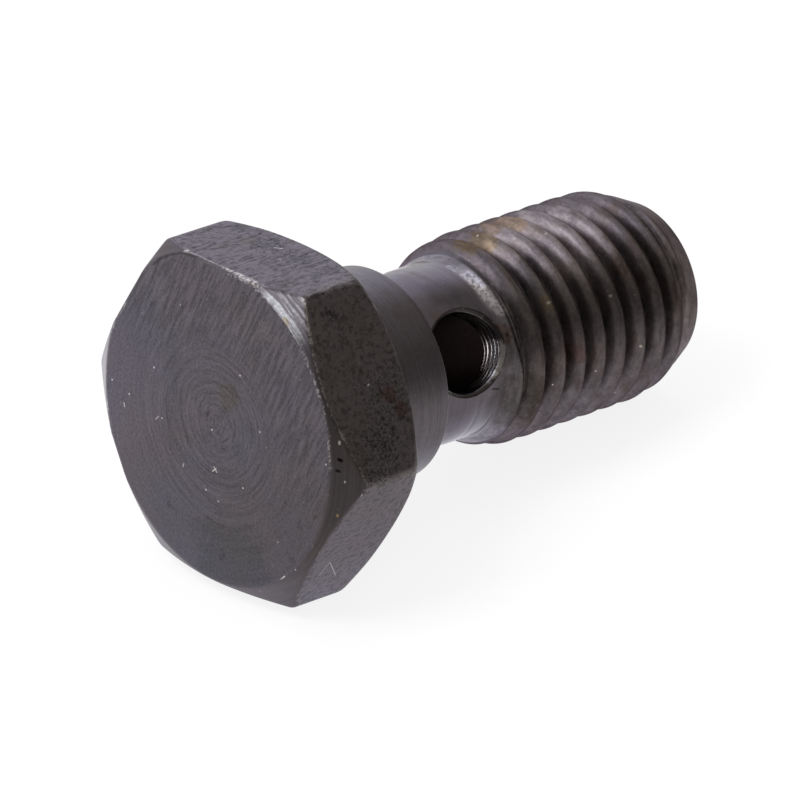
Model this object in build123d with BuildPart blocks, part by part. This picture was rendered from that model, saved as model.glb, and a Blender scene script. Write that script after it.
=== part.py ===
from build123d import *

import os
from math import atan2, cos, pi, radians, sin, tan

# Banjo bolt, M12 x 1.5, 18 mm across the flats.
#
# The bolt is turned from one hexagon bar. Behind the head a short collar
# centres the ring-shaped fitting that the bolt clamps, a slimmer neck leaves
# room for fluid to run round it, and the rest of the shank is threaded. A
# blind bore runs up the shank from the tip, and a cross hole through the neck
# opens into it.
#
# The bolt lies on a flat of its head with the end of its thread touching the
# surface. Stations are distances along its axis from the front of the head,
# and angles are counted round the axis from +Y towards +Z.

# Hexagon head. The bar ran out of true while its shank was turned, so the
# head's centre lies a little below the axis.
head_sides = 6
across_flats = 18.0
head_height = 6.0
head_offset = 0.15
head_edge_radius = 0.5
face_radius = 8.95
face_chamfer_angle = 32.0
seat_radius = 8.35
seat_chamfer_angle = 30.0

# Collar
collar_radius = 5.925
collar_length = 5.1
collar_root_chamfer = 0.3
collar_edge_break = 0.15

# Neck, and the shoulder that climbs from it to the thread
neck_radius = 4.85
shoulder_radius = 5.56
shoulder_station = 17.15
shoulder_angle = 45.0
shoulder_foot_chamfer = 0.45
lead_in_length = 1.45

# Thread
thread_nominal_radius = 6.0
thread_crest_radius = 5.87
thread_pitch = 1.5
thread_flank_angle = 30.0
thread_crest_cut = 0.125
groove_turns = 10
groove_start_station = 15.56
groove_overcut = 0.08

# Tip
overall_length = 31.0
tip_radius = 4.6
tip_chamfer_angle = 25.0

# Bore and cross hole
bore_radius = 3.4
bore_depth = 19.3
bore_mouth_chamfer = 0.25
drill_point_angle = 59.0
cross_hole_radius = 2.2
cross_hole_mouth_radius = 2.45
cross_hole_countersink_angle = 90.0
cross_hole_station = 14.0
cross_hole_angle = 156.0

# Sizes that follow from those above
flat_distance = across_flats / 2
lower_flat_distance = flat_distance + head_offset
bar_reach = flat_distance / cos(pi / head_sides) + head_offset
face_chamfer_length = (bar_reach - face_radius) * tan(radians(face_chamfer_angle))
seat_slope = tan(radians(seat_chamfer_angle))
seat_chamfer_length = (bar_reach - seat_radius) * seat_slope
lower_flat_end = head_height - (lower_flat_distance - seat_radius) * seat_slope
collar_end = head_height + collar_length
neck_end = shoulder_station - (shoulder_radius - neck_radius) / tan(radians(shoulder_angle))
thread_start = shoulder_station + lead_in_length
tip_chamfer_length = (thread_crest_radius - tip_radius) / tan(radians(tip_chamfer_angle))
tip_chamfer_start = overall_length - tip_chamfer_length
flank_slope = tan(radians(thread_flank_angle))
sharp_thread_height = thread_pitch / 2 / flank_slope
groove_root_radius = thread_nominal_radius - (1 - thread_crest_cut) * sharp_thread_height
groove_top_radius = thread_crest_radius + groove_overcut
groove_top_half_width = (groove_top_radius - groove_root_radius) * flank_slope
bore_end = overall_length - bore_depth
drill_point_end = bore_end - bore_radius / tan(radians(drill_point_angle))

# The bolt rests on the far edge of its lower flat and on the last full crest
# of its thread, so its axis dips towards the tip.
axis_dip = atan2(lower_flat_distance - thread_crest_radius, tip_chamfer_start - lower_flat_end)
rest_height = lower_flat_distance * cos(axis_dip) + lower_flat_end * sin(axis_dip)
reach_back = face_radius * sin(axis_dip)
reach_forward = overall_length * cos(axis_dip) + tip_radius * sin(axis_dip)

# The origin is on the surface, under the middle of the bolt. A sketch across
# the bolt stands on the plane at the front of its head. A sketch along it
# holds stations and radii: the turned sections are drawn below the axis and
# the thread's groove above it, which keeps the seams of the turned faces away
# from the ends of each turn of the groove.
head_front = Vector((reach_back - reach_forward) / 2, 0, rest_height)
along_bolt = Vector(cos(axis_dip), 0, -sin(axis_dip))
bolt_axis = Axis(head_front, along_bolt)
across_plane = Plane(origin=head_front, x_dir=(0, 1, 0), z_dir=along_bolt)
turning_plane = Plane(origin=head_front, x_dir=along_bolt, z_dir=(0, 1, 0))
cross_hole_centre = across_plane.offset(cross_hole_station).origin
cross_hole_direction = across_plane.x_dir.rotate(bolt_axis, cross_hole_angle)

with BuildPart() as banjo_bolt:
    # The hexagon bar
    with BuildSketch(across_plane) as bar_section:
        with Locations((0, -head_offset)):
            RegularPolygon(flat_distance, head_sides, major_radius=False)
        fillet(bar_section.vertices(), head_edge_radius)
    extrude(amount=overall_length)

    # Everything turned on the outside, from the head's chamfers to the tip
    with BuildSketch(turning_plane) as turned_section:
        with BuildLine():
            Polyline(
                (0, 0),
                (0, face_radius),
                (face_chamfer_length, bar_reach),
                (head_height - seat_chamfer_length, bar_reach),
                (head_height, seat_radius),
                (head_height, collar_radius),
                (collar_end, collar_radius),
                (collar_end, neck_radius),
                (neck_end, neck_radius),
                (shoulder_station, shoulder_radius),
                (thread_start, thread_crest_radius),
                (tip_chamfer_start, thread_crest_radius),
                (overall_length, tip_radius),
                (overall_length, 0),
                close=True,
            )
        make_face()
        collar_root = turned_section.vertices().sort_by_distance((head_height, collar_radius))[0]
        chamfer(collar_root, collar_root_chamfer)
        collar_edge = turned_section.vertices().sort_by_distance((collar_end, collar_radius))[0]
        chamfer(collar_edge, collar_edge_break)
        shoulder_foot = turned_section.vertices().sort_by_distance((neck_end, neck_radius))[0]
        chamfer(shoulder_foot, shoulder_foot_chamfer)
    revolve(axis=bolt_axis, mode=Mode.INTERSECT)

    # The thread's groove, one turn after another. It starts in the air round
    # the neck and ends beyond the tip's chamfer, so it fades in and out.
    for turn in range(groove_turns):
        turn_start = across_plane.offset(groove_start_station + turn * thread_pitch).origin
        with BuildLine():
            Helix(
                pitch=thread_pitch,
                height=thread_pitch,
                radius=groove_root_radius,
                center=turn_start,
                direction=along_bolt,
            )
        with BuildSketch(Plane(origin=turn_start, x_dir=along_bolt, z_dir=(0, -1, 0))):
            with BuildLine():
                Polyline(
                    (0, groove_root_radius),
                    (groove_top_half_width, groove_top_radius),
                    (-groove_top_half_width, groove_top_radius),
                    close=True,
                )
            make_face()
        sweep(is_frenet=True, mode=Mode.SUBTRACT)

    # The blind bore, with its drill point and chamfered mouth
    with BuildSketch(turning_plane):
        with BuildLine():
            Polyline(
                (drill_point_end, 0),
                (bore_end, bore_radius),
                (overall_length - bore_mouth_chamfer, bore_radius),
                (overall_length, bore_radius + bore_mouth_chamfer),
                (overall_length, 0),
                close=True,
            )
        make_face()
    revolve(axis=bolt_axis, mode=Mode.SUBTRACT)

    # The cross hole, drilled through both walls of the neck. A light
    # countersink at each mouth bites deepest where the neck stands highest.
    for outwards in (cross_hole_direction, -cross_hole_direction):
        mouth_centre = cross_hole_centre + outwards * neck_radius
        with Locations(Plane(origin=mouth_centre, x_dir=along_bolt, z_dir=outwards)):
            CounterSinkHole(
                radius=cross_hole_radius,
                counter_sink_radius=cross_hole_mouth_radius,
                counter_sink_angle=cross_hole_countersink_angle,
                depth=neck_radius,
            )

banjo_bolt.part.label = "banjo_bolt"

os.makedirs("parts", exist_ok=True)
export_step(banjo_bolt.part, "parts/banjo_bolt.step")
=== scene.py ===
"""A banjo bolt in dark oxide steel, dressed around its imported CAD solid.

The bolt is one closed skin, laid ring by ring along its profile: head, collar, neck, thread, tip, bore and
cross hole. Each stretch of it has its own finish. Sizes are in millimetres until a mesh is placed.
Stations run along the bolt's axis from the front of its head, and azimuths run round it from +Y to +Z.
The studio and the camera are in metres.
"""

import logging
import math
from dataclasses import dataclass, field, replace
from enum import Enum

import bmesh
import bpy
import numpy as np
from mathutils import Matrix, Vector


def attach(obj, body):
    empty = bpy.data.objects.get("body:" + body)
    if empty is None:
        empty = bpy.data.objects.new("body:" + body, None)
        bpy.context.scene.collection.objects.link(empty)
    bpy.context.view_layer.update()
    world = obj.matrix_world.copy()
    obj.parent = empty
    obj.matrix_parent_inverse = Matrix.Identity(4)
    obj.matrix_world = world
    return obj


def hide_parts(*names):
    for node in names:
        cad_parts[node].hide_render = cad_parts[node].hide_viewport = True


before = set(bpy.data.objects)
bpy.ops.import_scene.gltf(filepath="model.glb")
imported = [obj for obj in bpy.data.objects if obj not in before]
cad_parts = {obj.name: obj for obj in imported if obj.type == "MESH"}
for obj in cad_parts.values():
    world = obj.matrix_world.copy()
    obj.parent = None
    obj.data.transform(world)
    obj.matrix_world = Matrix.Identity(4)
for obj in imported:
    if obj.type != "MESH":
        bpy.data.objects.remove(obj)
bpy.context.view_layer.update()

MM = 0.001
CAD_NODE = "banjo_bolt"
BODY = "root"
WEAR = "edge_wear"
HEAD_SIDES = 6
HALF_SIDE = math.pi / HEAD_SIDES  # half the angle that one flat takes up, in radians
MOST_REACH = 0.42  # the largest share of a run that the round at its end may take up
LEAST_LENGTH = 1e-9  # keeps a division safe where two rings meet
LEAST_RADIUS = 0.001  # keeps a division safe on the axis

Colour = tuple[float, float, float]
Point = tuple[float, float, float]
Socket = bpy.types.NodeSocket
Feed = Socket | float | Colour


class Zone(Enum):
    """The stretches of the bolt that have a finish of their own."""

    FACE = 0
    CHAMFER = 1
    FLATS = 2
    SEAT = 3
    COLLAR = 4
    NECK = 5
    THREAD = 6
    HOLE = 7


# ---------------------------------------------------------------- rings and curves


@dataclass(frozen=True)
class Corner:
    """A ring of points where the bolt's profile turns, and the run that follows it."""

    ring: np.ndarray
    zone: Zone
    run_steps: int = 1
    reach: float | np.ndarray = 0.0
    bend_steps: int = 4
    wear: float = 0.0


@dataclass(frozen=True)
class Row:
    """One ring of the skin, and the zone of the strip that follows it."""

    ring: np.ndarray
    zone: Zone


def ring_at(station: np.ndarray, across: np.ndarray) -> np.ndarray:
    """Joins stations and (y, z) pairs into points."""
    return np.column_stack([station, across])


def round_ring(station: float, radius: float | np.ndarray, azimuth: np.ndarray) -> np.ndarray:
    """Lays a ring round the axis at one station.

    Args:
        station: where the ring lies along the bolt.
        radius: its radius, or one for each azimuth.
        azimuth: the angles of its points, in radians.

    Returns:
        The ring's points.
    """
    radii = np.broadcast_to(radius, azimuth.shape)[:, None]
    across = np.stack([np.cos(azimuth), np.sin(azimuth)], axis=1) * radii
    return ring_at(np.full(len(azimuth), station), across)


def height_on(round_radius: np.ndarray | float, across: np.ndarray) -> np.ndarray:
    """How high points that lie off the middle of a round surface stand on it."""
    return np.sqrt(round_radius**2 - across**2)


def unroll(points: np.ndarray, middle: float) -> np.ndarray:
    """Points as stations and angles from a middle azimuth."""
    angle = np.arctan2(points[:, 2], points[:, 1]) - middle
    return np.stack([points[:, 0], np.mod(angle + math.pi, 2 * math.pi) - math.pi], axis=1)


def roll(flat: np.ndarray, radius: np.ndarray | float, middle: float) -> np.ndarray:
    """Stations and angles from a middle azimuth as points at the given radii."""
    angle = flat[:, 1] + middle
    return np.stack([flat[:, 0], radius * np.cos(angle), radius * np.sin(angle)], axis=1)


def smooth_min(one: np.ndarray, other: np.ndarray, width: float) -> np.ndarray:
    """The lesser of two heights, with the corner between them rounded over the width."""
    blend = np.maximum(width - np.abs(one - other), 0) / width
    return np.minimum(one, other) - blend**2 * width / 4


def smooth_max(one: np.ndarray, other: np.ndarray, width: float) -> np.ndarray:
    """The greater of two heights, with the corner between them rounded over the width."""
    return -smooth_min(-one, -other, width)


def way_and_reach(
    start: np.ndarray, end: np.ndarray, reach: float | np.ndarray
) -> tuple[np.ndarray, np.ndarray]:
    """The way from ring to ring, and how far a round may reach along it.

    Args:
        start: the ring that the way leaves.
        end: the ring that it goes to.
        reach: how far the round should reach.

    Returns:
        The unit way at each column, and the reach there within its limit.
    """
    way = end - start
    length = np.maximum(np.linalg.norm(way, axis=1), LEAST_LENGTH)[:, None]
    return way / length, np.minimum(np.reshape(reach, (-1, 1)), MOST_REACH * length)


# ---------------------------------------------------------------- the bolt's parts


@dataclass(frozen=True)
class Head:
    """The hexagon head, from its front face to its seat."""

    across_flats: float = 18.0
    height: float = 6.0
    offset: float = 0.15
    corner_round: float = 0.505
    face_radius: float = 8.95
    face_centre: tuple[float, float] = (0.186, -0.045)
    face_swell: tuple[float, ...] = (
        -0.16, -0.1, 0.33, 0.2, -0.03, -0.1, -0.22, -0.13, -0.05, 0.0, 0.0, -0.06,
    )
    face_chamfer_angle: float = 32.0
    least_chamfer: float = 0.09
    hub_share: float = 0.012
    seat_radius: float = 8.35
    seat_chamfer_angle: float = 30.0
    seat_edge_reach: float = 0.12
    edge_reach: float = 0.16
    blunted_reach: float = 0.5
    blunted_half_angle: float = 14.0
    blunted_fall: float = 1.5

    def face_reach(self, azimuth: np.ndarray) -> np.ndarray:
        """How far the face reaches from its middle: further where less of its edge was cut away.

        Args:
            azimuth: angles round the face's middle, in radians.

        Returns:
            One radius for each angle.
        """
        swell = np.array(self.face_swell)
        place = np.mod(azimuth, 2 * math.pi) / (2 * math.pi) * len(swell)
        before = np.floor(place).astype(int) % len(swell)
        after = (before + 1) % len(swell)
        share = place - np.floor(place)
        share = share**2 * (3 - 2 * share)
        return self.face_radius + swell[before] + (swell[after] - swell[before]) * share

    def bar_outline(self, azimuth: np.ndarray) -> np.ndarray:
        """The hexagon bar's outline, with rounded corners.

        Args:
            azimuth: angles round the hexagon's own centre, in radians.

        Returns:
            One (y, z) pair for each angle, from the bolt's axis.
        """
        flat = self.across_flats / 2
        off_flat = np.abs(np.mod(azimuth, 2 * HALF_SIDE) - HALF_SIDE)
        reach = flat / np.cos(off_flat)
        centre = (flat - self.corner_round) / math.cos(HALF_SIDE)
        to_corner = HALF_SIDE - off_flat
        inside = np.maximum(self.corner_round**2 - (centre * np.sin(to_corner)) ** 2, 0)
        rounded = centre * np.cos(to_corner) + np.sqrt(inside)
        tangent = math.atan((flat - self.corner_round) / flat * math.tan(HALF_SIDE))
        radius = np.where(off_flat > tangent, rounded, reach)
        return np.stack([radius * np.cos(azimuth), radius * np.sin(azimuth) - self.offset], axis=1)

    def blunting(self, azimuth: np.ndarray) -> np.ndarray:
        """How far the back edge is rounded: further at the hexagon's corners.

        Args:
            azimuth: angles round the bolt, in radians.

        Returns:
            One reach for each angle.
        """
        off_corner = np.abs(np.mod(azimuth + HALF_SIDE, 2 * HALF_SIDE) - HALF_SIDE)
        nearness = np.clip(1 - off_corner / math.radians(self.blunted_half_angle), 0, 1)
        return self.edge_reach + self.blunted_reach * nearness**self.blunted_fall

    def corners(self, azimuth: np.ndarray, collar_radius: float, root_reach: float) -> list[Corner]:
        """The head's profile at every azimuth, from near its middle to the root of the collar.

        Args:
            azimuth: one angle for each column of the skin.
            collar_radius: the radius at which the seat ends.
            root_reach: how far the round at the collar's root reaches.

        Returns:
            The profile's corners in order.
        """
        bar = self.bar_outline(azimuth)
        middle = np.array(self.face_centre)
        spoke = bar - middle
        length = np.linalg.norm(spoke, axis=1)
        face_reach = np.minimum(self.face_reach(azimuth), length - self.least_chamfer)
        face_edge = middle + spoke / length[:, None] * face_reach[:, None]
        chamfer_end = (length - face_reach) * math.tan(math.radians(self.face_chamfer_angle))
        from_axis = np.linalg.norm(bar, axis=1)
        seat_slope = math.tan(math.radians(self.seat_chamfer_angle))
        flat_end = self.height - (from_axis - self.seat_radius) * seat_slope
        seat_edge = bar / from_axis[:, None] * self.seat_radius
        zero = np.zeros(len(azimuth))
        hub = middle + (face_edge - middle) * self.hub_share
        edge, blunted = self.edge_reach, self.blunting(azimuth)
        root = round_ring(self.height, collar_radius, azimuth)
        return [
            Corner(ring_at(zero, hub), Zone.FACE, run_steps=44),
            Corner(ring_at(zero, face_edge), Zone.CHAMFER, run_steps=7, reach=edge, wear=0.85),
            Corner(ring_at(chamfer_end, bar), Zone.FLATS, run_steps=26, reach=edge, wear=1.0),
            Corner(ring_at(flat_end, bar), Zone.SEAT, run_steps=5, reach=blunted, bend_steps=5, wear=0.6),
            Corner(ring_at(zero + self.height, seat_edge), Zone.SEAT, run_steps=5,
                   reach=self.seat_edge_reach, bend_steps=3, wear=0.3),
            Corner(root, Zone.COLLAR, run_steps=20, reach=root_reach),
        ]


@dataclass(frozen=True)
class Shank:
    """The collar, the neck, the shoulder, the thread and the tip."""

    collar_radius: float = 5.925
    collar_end: float = 11.1
    collar_root_reach: float = 0.3
    collar_edge_reach: float = 0.1
    neck_radius: float = 4.87
    neck_root_reach: float = 0.1
    shoulder_radius: float = 5.56
    shoulder_station: float = 17.15
    shoulder_angle: float = 45.0
    shoulder_sweep: float = 0.25
    lead_in_length: float = 1.45
    lead_in_sweep: float = 0.12
    crest_radius: float = 5.87
    tip_radius: float = 4.6
    tip_station: float = 31.0
    tip_chamfer_angle: float = 25.0
    tip_sweep: float = 0.3
    tip_edge_reach: float = 0.6
    mouth_edge_reach: float = 0.08

    def plain_radius(self, station: np.ndarray) -> np.ndarray:
        """The shank's radius behind the collar before its thread is cut.

        Args:
            station: places along the bolt.

        Returns:
            One radius for each place.
        """
        shoulder_slope = math.tan(math.radians(self.shoulder_angle))
        foot = self.shoulder_station - (self.shoulder_radius - self.neck_radius) / shoulder_slope
        shoulder = self.neck_radius + (station - foot) * shoulder_slope
        lead_end = self.shoulder_station + self.lead_in_length
        lead_slope = (self.crest_radius - self.shoulder_radius) / self.lead_in_length
        lead_in = self.shoulder_radius + (station - self.shoulder_station) * lead_slope
        chamfer_slope = math.tan(math.radians(self.tip_chamfer_angle))
        chamfer = self.tip_radius + (self.tip_station - station) * chamfer_slope
        rising = smooth_max(np.full_like(station, self.neck_radius), shoulder, self.shoulder_sweep)
        crest = np.where(station > lead_end, self.crest_radius, lead_in)
        rising = smooth_min(rising, crest, self.lead_in_sweep)
        return smooth_min(rising, chamfer, self.tip_sweep)

    def last_crest(self) -> float:
        """The station at which the tip's chamfer leaves the thread's crests."""
        slope = math.tan(math.radians(self.tip_chamfer_angle))
        return self.tip_station - (self.crest_radius - self.tip_radius) / slope


@dataclass(frozen=True)
class Thread:
    """The right-hand thread's groove, with its worn crests."""

    nominal_radius: float = 6.0
    pitch: float = 1.5
    flank_angle: float = 30.0
    first_groove: float = 15.56
    first_azimuth: float = 90.0
    sharp_depth_share: float = 7 / 8
    root_round: float = 0.07
    crest_wear: float = 0.3

    def cut(self, station: np.ndarray, azimuth: np.ndarray, plain: np.ndarray) -> np.ndarray:
        """The radius once the groove is cut.

        Args:
            station: where each point lies along the bolt.
            azimuth: where it lies round the bolt, in radians.
            plain: the radius before the cut.

        Returns:
            The radius after it, with rounded roots and crests.
        """
        slope = 1 / math.tan(math.radians(self.flank_angle))
        sharp_root = self.nominal_radius - self.sharp_depth_share * self.pitch / 2 * slope
        turns = (azimuth - math.radians(self.first_azimuth)) / (2 * math.pi)
        beside = station - self.first_groove - turns * self.pitch
        beside = np.mod(beside + self.pitch / 2, self.pitch) - self.pitch / 2
        groove = sharp_root + np.sqrt(beside**2 + self.root_round**2) * slope
        return smooth_min(plain, groove, self.crest_wear)


@dataclass(frozen=True)
class Bore:
    """The blind bore that opens at the tip."""

    radius: float = 3.4
    mouth_chamfer: float = 0.25
    end_station: float = 11.7
    drill_point_angle: float = 59.0
    cone_shares: tuple[float, ...] = (0.2, 0.4, 0.6, 0.8, 0.97)

    def apex(self) -> float:
        """The station of the drill point's tip."""
        return self.end_station - self.radius / math.tan(math.radians(self.drill_point_angle))


@dataclass(frozen=True)
class CrossHole:
    """The hole through both walls of the neck, with the rings that its drill left."""

    station: float = 14.0
    azimuth: float = 156.0
    radius: float = 2.2
    mouth_radius: float = 2.42
    mouth_depth: float = 0.2
    mouth_flare: float = 1.5
    mouth_wear: float = 0.3
    ring_depth: float = 0.035
    ring_pitch: float = 0.3
    ring_fade: float = 4.0
    wall_rows: int = 26
    neck_shares: tuple[float, ...] = (0.3, 0.55, 0.75, 0.88, 0.96)
    bore_shares: tuple[float, ...] = (0.25, 0.6)

    def wall(self, share: float, top: np.ndarray, bottom: np.ndarray) -> tuple[np.ndarray, np.ndarray]:
        """One ring of the hole's wall, seen from the hole's own axis.

        Args:
            share: how far down the wall the ring lies, from nought to one.
            top: how high the wall starts at each of its points.
            bottom: how high it ends there.

        Returns:
            The radius and the height of each point.
        """
        height = top + (bottom - top) * share
        depth = top - height
        flare = np.clip(1 - depth / self.mouth_depth, 0, 1) ** self.mouth_flare
        fade = min(1.0, self.ring_fade * (1 - share))
        rings = self.ring_depth * np.sin(2 * np.pi * depth / self.ring_pitch) * fade
        radius = self.radius + (self.mouth_radius - self.radius) * flare
        radius = radius + rings * np.clip(depth / self.mouth_depth, 0, 1)
        return radius, height


# ---------------------------------------------------------------- the skin


@dataclass
class Skin:
    """A mesh in the making: its points, faces, zones and edge wear."""

    points: list[np.ndarray] = field(default_factory=list)
    wear: list[np.ndarray] = field(default_factory=list)
    faces: list[tuple[int, ...]] = field(default_factory=list)
    zones: list[int] = field(default_factory=list)
    count: int = 0

    def add(self, points: np.ndarray, wear: float = 0.0) -> np.ndarray:
        """Adds points.

        Args:
            points: where they are.
            wear: how worn the edge is that they lie on.

        Returns:
            Their numbers.
        """
        first = self.count
        self.points.append(points)
        self.wear.append(np.full(len(points), wear))
        self.count += len(points)
        return np.arange(first, self.count)

    def strip(
        self, one: np.ndarray, other: np.ndarray, zone: Zone, gaps: list[range] | None = None
    ) -> None:
        """Joins two closed rings with quads.

        Args:
            one: the numbers of the first ring's points.
            other: the numbers of the second ring's points.
            zone: the zone of the quads.
            gaps: the columns that are left out.
        """
        size = len(one)
        left_out = {column % size for gap in gaps or [] for column in gap}
        for column in range(size):
            if column in left_out:
                continue
            beside = (column + 1) % size
            self.faces.append((one[column], one[beside], other[beside], other[column]))
            self.zones.append(zone.value)

    def fan(self, ring: np.ndarray, middle: Point, zone: Zone) -> None:
        """Closes a ring with triangles round one point.

        Args:
            ring: the numbers of the ring's points.
            middle: the point that they meet in.
            zone: the zone of the triangles.
        """
        hub = self.add(np.array([middle]))[0]
        for column in range(len(ring)):
            self.faces.append((ring[column], ring[(column + 1) % len(ring)], hub))
            self.zones.append(zone.value)

    def lay(self, corners: list[Corner]) -> list[Row]:
        """Rounds the corners of a profile and lays rings along it.

        Args:
            corners: the profile's corners in order. Its two ends stay sharp.

        Returns:
            The rows laid, from the first corner to the last.
        """
        rows: list[Row] = []
        left = corners[0].ring
        for number, (here, following) in enumerate(zip(corners, corners[1:])):
            way, reach = way_and_reach(here.ring, following.ring, following.reach)
            arrive = following.ring - way * reach
            for step in range(here.run_steps):
                rows.append(Row(self.add(left + (arrive - left) * step / here.run_steps), here.zone))
            left = arrive
            if number + 2 == len(corners) or np.max(following.reach) == 0:
                continue
            way, reach = way_and_reach(following.ring, corners[number + 2].ring, following.reach)
            depart = following.ring + way * reach
            for step in range(following.bend_steps):
                share = step / following.bend_steps
                inward = (1 - share) ** 2 * arrive
                outward = share**2 * depart
                bend = inward + 2 * share * (1 - share) * following.ring + outward
                zone = here.zone if share < 0.5 else following.zone
                rows.append(Row(self.add(bend, following.wear * 4 * share * (1 - share)), zone))
            left = depart
        rows.append(Row(self.add(left), corners[-1].zone))
        return rows

    def mesh(self, name: str) -> bpy.types.Object:
        """Makes the mesh object, without its unused points and with its normals outward.

        Args:
            name: the piece's name.

        Returns:
            The piece, linked to the scene.
        """
        points = np.concatenate(self.points)
        mesh = bpy.data.meshes.new(name)
        mesh.from_pydata(points.tolist(), [], self.faces)
        mesh.polygons.foreach_set("material_index", self.zones)
        wear = mesh.attributes.new(WEAR, "FLOAT", "POINT")
        wear.data.foreach_set("value", np.concatenate(self.wear))
        mesh.shade_smooth()
        work = bmesh.new()
        work.from_mesh(mesh)
        loose = [vertex for vertex in work.verts if not vertex.link_faces]
        bmesh.ops.delete(work, geom=loose, context="VERTS")
        bmesh.ops.recalc_face_normals(work, faces=work.faces)
        work.to_mesh(mesh)
        work.free()
        piece = bpy.data.objects.new(name, mesh)
        bpy.context.scene.collection.objects.link(piece)
        return piece


@dataclass(frozen=True)
class Window:
    """The part of the skin that a hole's mouth takes up, as rows and columns of the grid."""

    first_row: int
    last_row: int
    first_column: int
    last_column: int

    def turned(self, columns: int) -> "Window":
        """The same window, some columns further round."""
        left, right = self.first_column + columns, self.last_column + columns
        return Window(self.first_row, self.last_row, left, right)

    def rows(self) -> range:
        """The rows of faces that are left out."""
        return range(self.first_row, self.last_row)

    def columns(self) -> range:
        """The columns of faces that are left out."""
        return range(self.first_column, self.last_column)

    def border(self, rows: list[Row], upward: bool) -> np.ndarray:
        """The points round the window, from its corner of low station and low azimuth.

        Args:
            rows: the skin's rows.
            upward: whether stations grow with the number of the row.

        Returns:
            The numbers of the points, first along the azimuths.
        """
        low, high = (self.first_row, self.last_row) if upward else (self.last_row, self.first_row)
        step = 1 if upward else -1
        left, right = self.first_column, self.last_column
        path = [(low, column) for column in range(left, right)]
        path += [(row, right) for row in range(low, high, step)]
        path += [(high, column) for column in range(right, left, -1)]
        path += [(row, left) for row in range(high, low, -step)]
        return np.array([rows[row].ring[column % len(rows[row].ring)] for row, column in path])


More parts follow.
